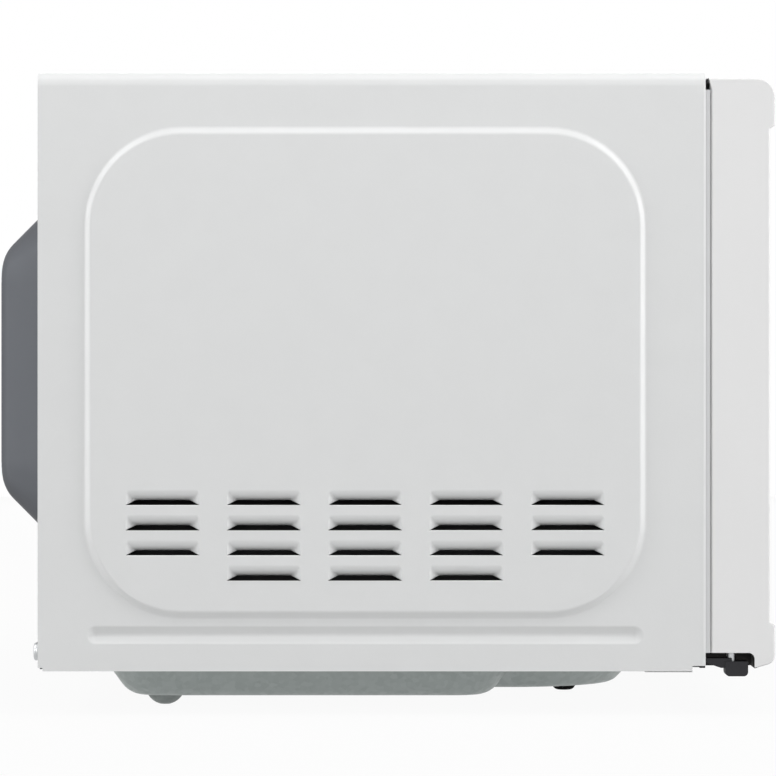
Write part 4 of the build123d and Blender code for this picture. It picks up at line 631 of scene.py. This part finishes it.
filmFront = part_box("keypad_sheet")[0].y / mm
keySettings = {
    "columns": (145.5, 171.5, 197.5),
    "rows": (186, 168, 150, 132, 114),
    "size": (22, 13),
    "wideColumns": (152, 191),
    "wideRow": 93,
    "wideSize": (35, 16),
    "corner": 3.2,
    "cornerSteps": 5,
    "rise": 0.5,
    "edge": 0.3,
    "edgeSteps": 3,
    "figures": ("123", "456", "789", "-0+"),
    "figureHeight": 8.5,
    "inkDepth": 0.06,
    # x, z and number of sides of each plain sign
    "signs": ((145.5, 186, 32), (171.5, 186, 6), (197.5, 186, 4), (152, 93, 4), (191, 93, 3)),
    "signRadius": 3.4,
}
keyFront = filmFront - keySettings["rise"]
pads = [(x, z, keySettings["size"]) for x in keySettings["columns"] for z in keySettings["rows"]]
pads += [(x, keySettings["wideRow"], keySettings["wideSize"]) for x in keySettings["wideColumns"]]
bm = bmesh.new()
for x, z, (width, height) in pads:
    middle = Vector((x, filmFront, z)) * mm
    scale = Vector((width, 2 * keySettings["rise"], height)) * mm
    bmesh.ops.create_cube(bm, size=1.0, matrix=Matrix.LocRotScale(middle, None, scale))
uprights = [
    edge for edge in bm.edges if abs(edge.verts[0].co.y - edge.verts[1].co.y) > keySettings["rise"] * mm
]
bmesh.ops.bevel(
    bm, geom=uprights, offset=keySettings["corner"] * mm, offset_type="OFFSET",
    segments=keySettings["cornerSteps"], profile=0.5, affect="EDGES", clamp_overlap=True, material=-1,
)
halfRise = (filmFront + keyFront) / 2 * mm
rims = [edge for edge in bm.edges if all(vert.co.y < halfRise for vert in edge.verts)]
bmesh.ops.bevel(
    bm, geom=rims, offset=keySettings["edge"] * mm, offset_type="OFFSET",
    segments=keySettings["edgeSteps"], profile=0.5, affect="EDGES", clamp_overlap=True, material=-1,
)
for face in bm.faces:
    face.smooth = True
keys = place("keyPads", bm, [keyFilm], "oven")
keys.data.set_sharp_from_angle(angle=radians(meshSettings["sharp"]))

bm = bmesh.new()
for row, figures in zip(keySettings["rows"][1:], keySettings["figures"]):
    for x, figure in zip(keySettings["columns"], figures):
        lettering(bm, figure, keySettings["figureHeight"], (x, keyFront, row), keySettings["inkDepth"])
for x, z, sides in keySettings["signs"]:
    turn = Euler((pi / 2, 0, 0)).to_matrix().to_4x4() @ Matrix.Rotation(pi / 2 - pi / sides, 4, "Z")
    bmesh.ops.create_cone(
        bm, cap_ends=True, segments=sides, radius1=keySettings["signRadius"] * mm,
        radius2=keySettings["signRadius"] * mm, depth=keySettings["inkDepth"] * mm,
        matrix=Matrix.Translation(Vector((x, keyFront, z)) * mm) @ turn,
    )
legends = place("keyLegends", bm, [printInk], "oven")

lensLow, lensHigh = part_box("display_lens")
timeSettings = {"text": "12:00", "height": 17.0, "depth": 0.06}
bm = bmesh.new()
lensMiddle = (lensLow + lensHigh) / 2 / mm
lettering(
    bm, timeSettings["text"], timeSettings["height"], (lensMiddle.x, lensLow.y / mm, lensMiddle.z),
    timeSettings["depth"],
)
digits = place("displayDigits", bm, [segmentGlow], "oven")
print("keypad keys, figures and display set")

# Cover screws: their recesses, drawn as crosses of painted shade let into the heads

crossSettings = {"heads": ((213.95, 25.8), (110.0, 257.95)), "arm": (4.4, 0.9), "sink": 0.5, "proud": 0.03}
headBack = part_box("cover_screws")[1].y / mm
bm = bmesh.new()
for side in (-1, 1):
    for x, z in crossSettings["heads"]:
        long, thin = crossSettings["arm"]
        for width, height in ((long, thin), (thin, long)):
            middle = Vector((side * x, headBack - crossSettings["sink"] / 2 + crossSettings["proud"], z)) * mm
            scale = Vector((width, crossSettings["sink"], height)) * mm
            bmesh.ops.create_cube(bm, size=1.0, matrix=Matrix.LocRotScale(middle, None, scale))
crosses = place("screwCrosses", bm, [shadeCoat], "oven")
print("screw recesses set")

# Latch spring: a coil of wire

springLow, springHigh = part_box("latch_spring")
springSettings = {"wire": 0.45, "sides": 8, "turns": 9, "stepsPerTurn": 20, "keep": 0.74}
wire = springSettings["wire"] * mm
springMiddle = (springLow + springHigh) / 2
coilRadius = (springHigh.x - springLow.x) / 2 - wire
steps = springSettings["turns"] * springSettings["stepsPerTurn"]
bm = bmesh.new()
bmesh.ops.create_circle(
    bm, cap_ends=True, segments=springSettings["sides"], radius=wire,
    matrix=Matrix.Translation((springMiddle.x + coilRadius, springMiddle.y, springLow.z + wire))
    @ Matrix.Rotation(pi / 2, 4, "X"),
)
bmesh.ops.spin(
    bm, geom=bm.verts[:] + bm.edges[:] + bm.faces[:], cent=springMiddle, axis=(0, 0, 1),
    dvec=(0, 0, (springHigh.z - springLow.z - 2 * wire) / steps), angle=2 * pi * springSettings["turns"],
    steps=steps, use_merge=False, use_duplicate=False,
)
bmesh.ops.holes_fill(bm, edges=[edge for edge in bm.edges if edge.is_boundary])
bmesh.ops.recalc_face_normals(bm, faces=bm.faces)
for face in bm.faces:
    face.smooth = True
spring = place("latchCoil", bm, [zincPlate], bodyOf["latch_spring"])
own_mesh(spring)
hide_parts("latch_spring")
print("latch spring coiled")

# Stage: pale floor, white surroundings, soft light

stageSettings = {
    "floorHalf": 3.0,
    "floorShade": "BEBEBE",
    "floorRough": 0.8,
    "shadowShare": 0.06,
    "skyUp": 0.44,
    "skyDown": 0.30,
}


def whiteRays(tree):
    # one for the rays that show the background: from the camera, off gloss and through glass
    rays = addNode(tree, "ShaderNodeLightPath").outputs
    seen = addNode(
        tree, "ShaderNodeMath", {"operation": "MAXIMUM"},
        {0: rays["Is Camera Ray"], 1: rays["Is Glossy Ray"]},
    )
    seenAll = addNode(
        tree, "ShaderNodeMath", {"operation": "MAXIMUM"},
        {0: seen.outputs[0], 1: rays["Is Transmission Ray"]},
    )
    return seenAll.outputs[0]


floorMesh = bpy.data.meshes.new("floor")
bm = bmesh.new()
bmesh.ops.create_grid(bm, x_segments=1, y_segments=1, size=stageSettings["floorHalf"])
bm.to_mesh(floorMesh)
bm.free()
floor = bpy.data.objects.new("floor", floorMesh)
bpy.context.scene.collection.objects.link(floor)

floorPaint = bpy.data.materials.new("paleFloor")
floorPaint.use_nodes = True
tree = floorPaint.node_tree
shader = tree.nodes["Principled BSDF"]
shader.inputs["Base Color"].default_value = linear(stageSettings["floorShade"])
shader.inputs["Roughness"].default_value = stageSettings["floorRough"]
share = addNode(
    tree, "ShaderNodeMath", {"operation": "MULTIPLY", 1: 1 - stageSettings["shadowShare"]},
    {0: whiteRays(tree)},
)
white = addNode(tree, "ShaderNodeEmission", {"Strength": 1.0})
blend = addNode(
    tree, "ShaderNodeMixShader", {}, {0: share.outputs[0], 1: shader.outputs[0], 2: white.outputs[0]},
)
tree.links.new(blend.outputs[0], tree.nodes["Material Output"].inputs["Surface"])
floor.data.materials.append(floorPaint)

world = bpy.data.worlds.new("studio")
bpy.context.scene.world = world
world.use_nodes = True
tree = world.node_tree
direction = addNode(tree, "ShaderNodeTexCoord").outputs["Generated"]
parts = addNode(tree, "ShaderNodeSeparateXYZ", {}, {"Vector": direction})
level = addNode(
    tree, "ShaderNodeMapRange",
    {"From Min": -1.0, "From Max": 1.0, "To Min": stageSettings["skyDown"], "To Max": stageSettings["skyUp"]},
    {"Value": parts.outputs["Z"]},
)
strength = addNode(
    tree, "ShaderNodeMix", {"data_type": "FLOAT", "B": 1.0},
    {"Factor": whiteRays(tree), "A": level.outputs["Result"]},
)
sky = tree.nodes["Background"]
tree.links.new(strength.outputs["Result"], sky.inputs["Strength"])
sky.inputs["Color"].default_value = (1, 1, 1, 1)

lampSettings = [
    # name, spot, aim and size in metres, watts
    ("cameraSide", (-2.6, 0.0, 1.0), (-0.2, 0, 0.15), 1.4, 12.3),
    ("farSide", (2.6, 0.0, 1.0), (0.2, 0, 0.15), 1.4, 14.0),
    ("overhead", (-0.46, 0.0, 1.3), (-0.2, 0, 0.15), 0.6, 1.7),
    ("highRear", (-0.58, 1.25, 1.45), (-0.2, 0, 0.15), 1.1, 11.0),
    ("highFront", (-0.58, -1.25, 1.45), (-0.2, 0, 0.15), 1.1, 12.5),
    ("sideRear", (-0.60, 2.0, 0.45), (-0.2, 0, 0.15), 0.9, 9.0),
    ("sideFront", (-0.60, -2.0, 0.45), (-0.2, 0, 0.15), 0.9, 12.0),
]
for name, spot, aim, size, watts in lampSettings:
    lamp = bpy.data.lights.new(name, "AREA")
    lamp.shape = "SQUARE"
    lamp.size = size
    lamp.energy = watts
    lampObject = bpy.data.objects.new(name, lamp)
    lampObject.location = spot
    lampObject.rotation_euler = (Vector(aim) - Vector(spot)).to_track_quat("-Z", "Y").to_euler()
    bpy.context.scene.collection.objects.link(lampObject)
print("stage and light set")

# Camera: level with the middle of the side, as far away as the photograph's slight perspective says

cameraSettings = {"place": (-1.82, -0.0037, 0.1342), "lens": 181.0, "sensor": 36.0}

camera = bpy.data.cameras.new("sideView")
camera.lens = cameraSettings["lens"]
camera.sensor_width = cameraSettings["sensor"]
cameraObject = bpy.data.objects.new("sideView", camera)
cameraObject.location = cameraSettings["place"]
cameraObject.rotation_euler = (pi / 2, 0, -pi / 2)
bpy.context.scene.collection.objects.link(cameraObject)
bpy.context.scene.camera = cameraObject
bpy.context.scene.view_settings.view_transform = "Standard"
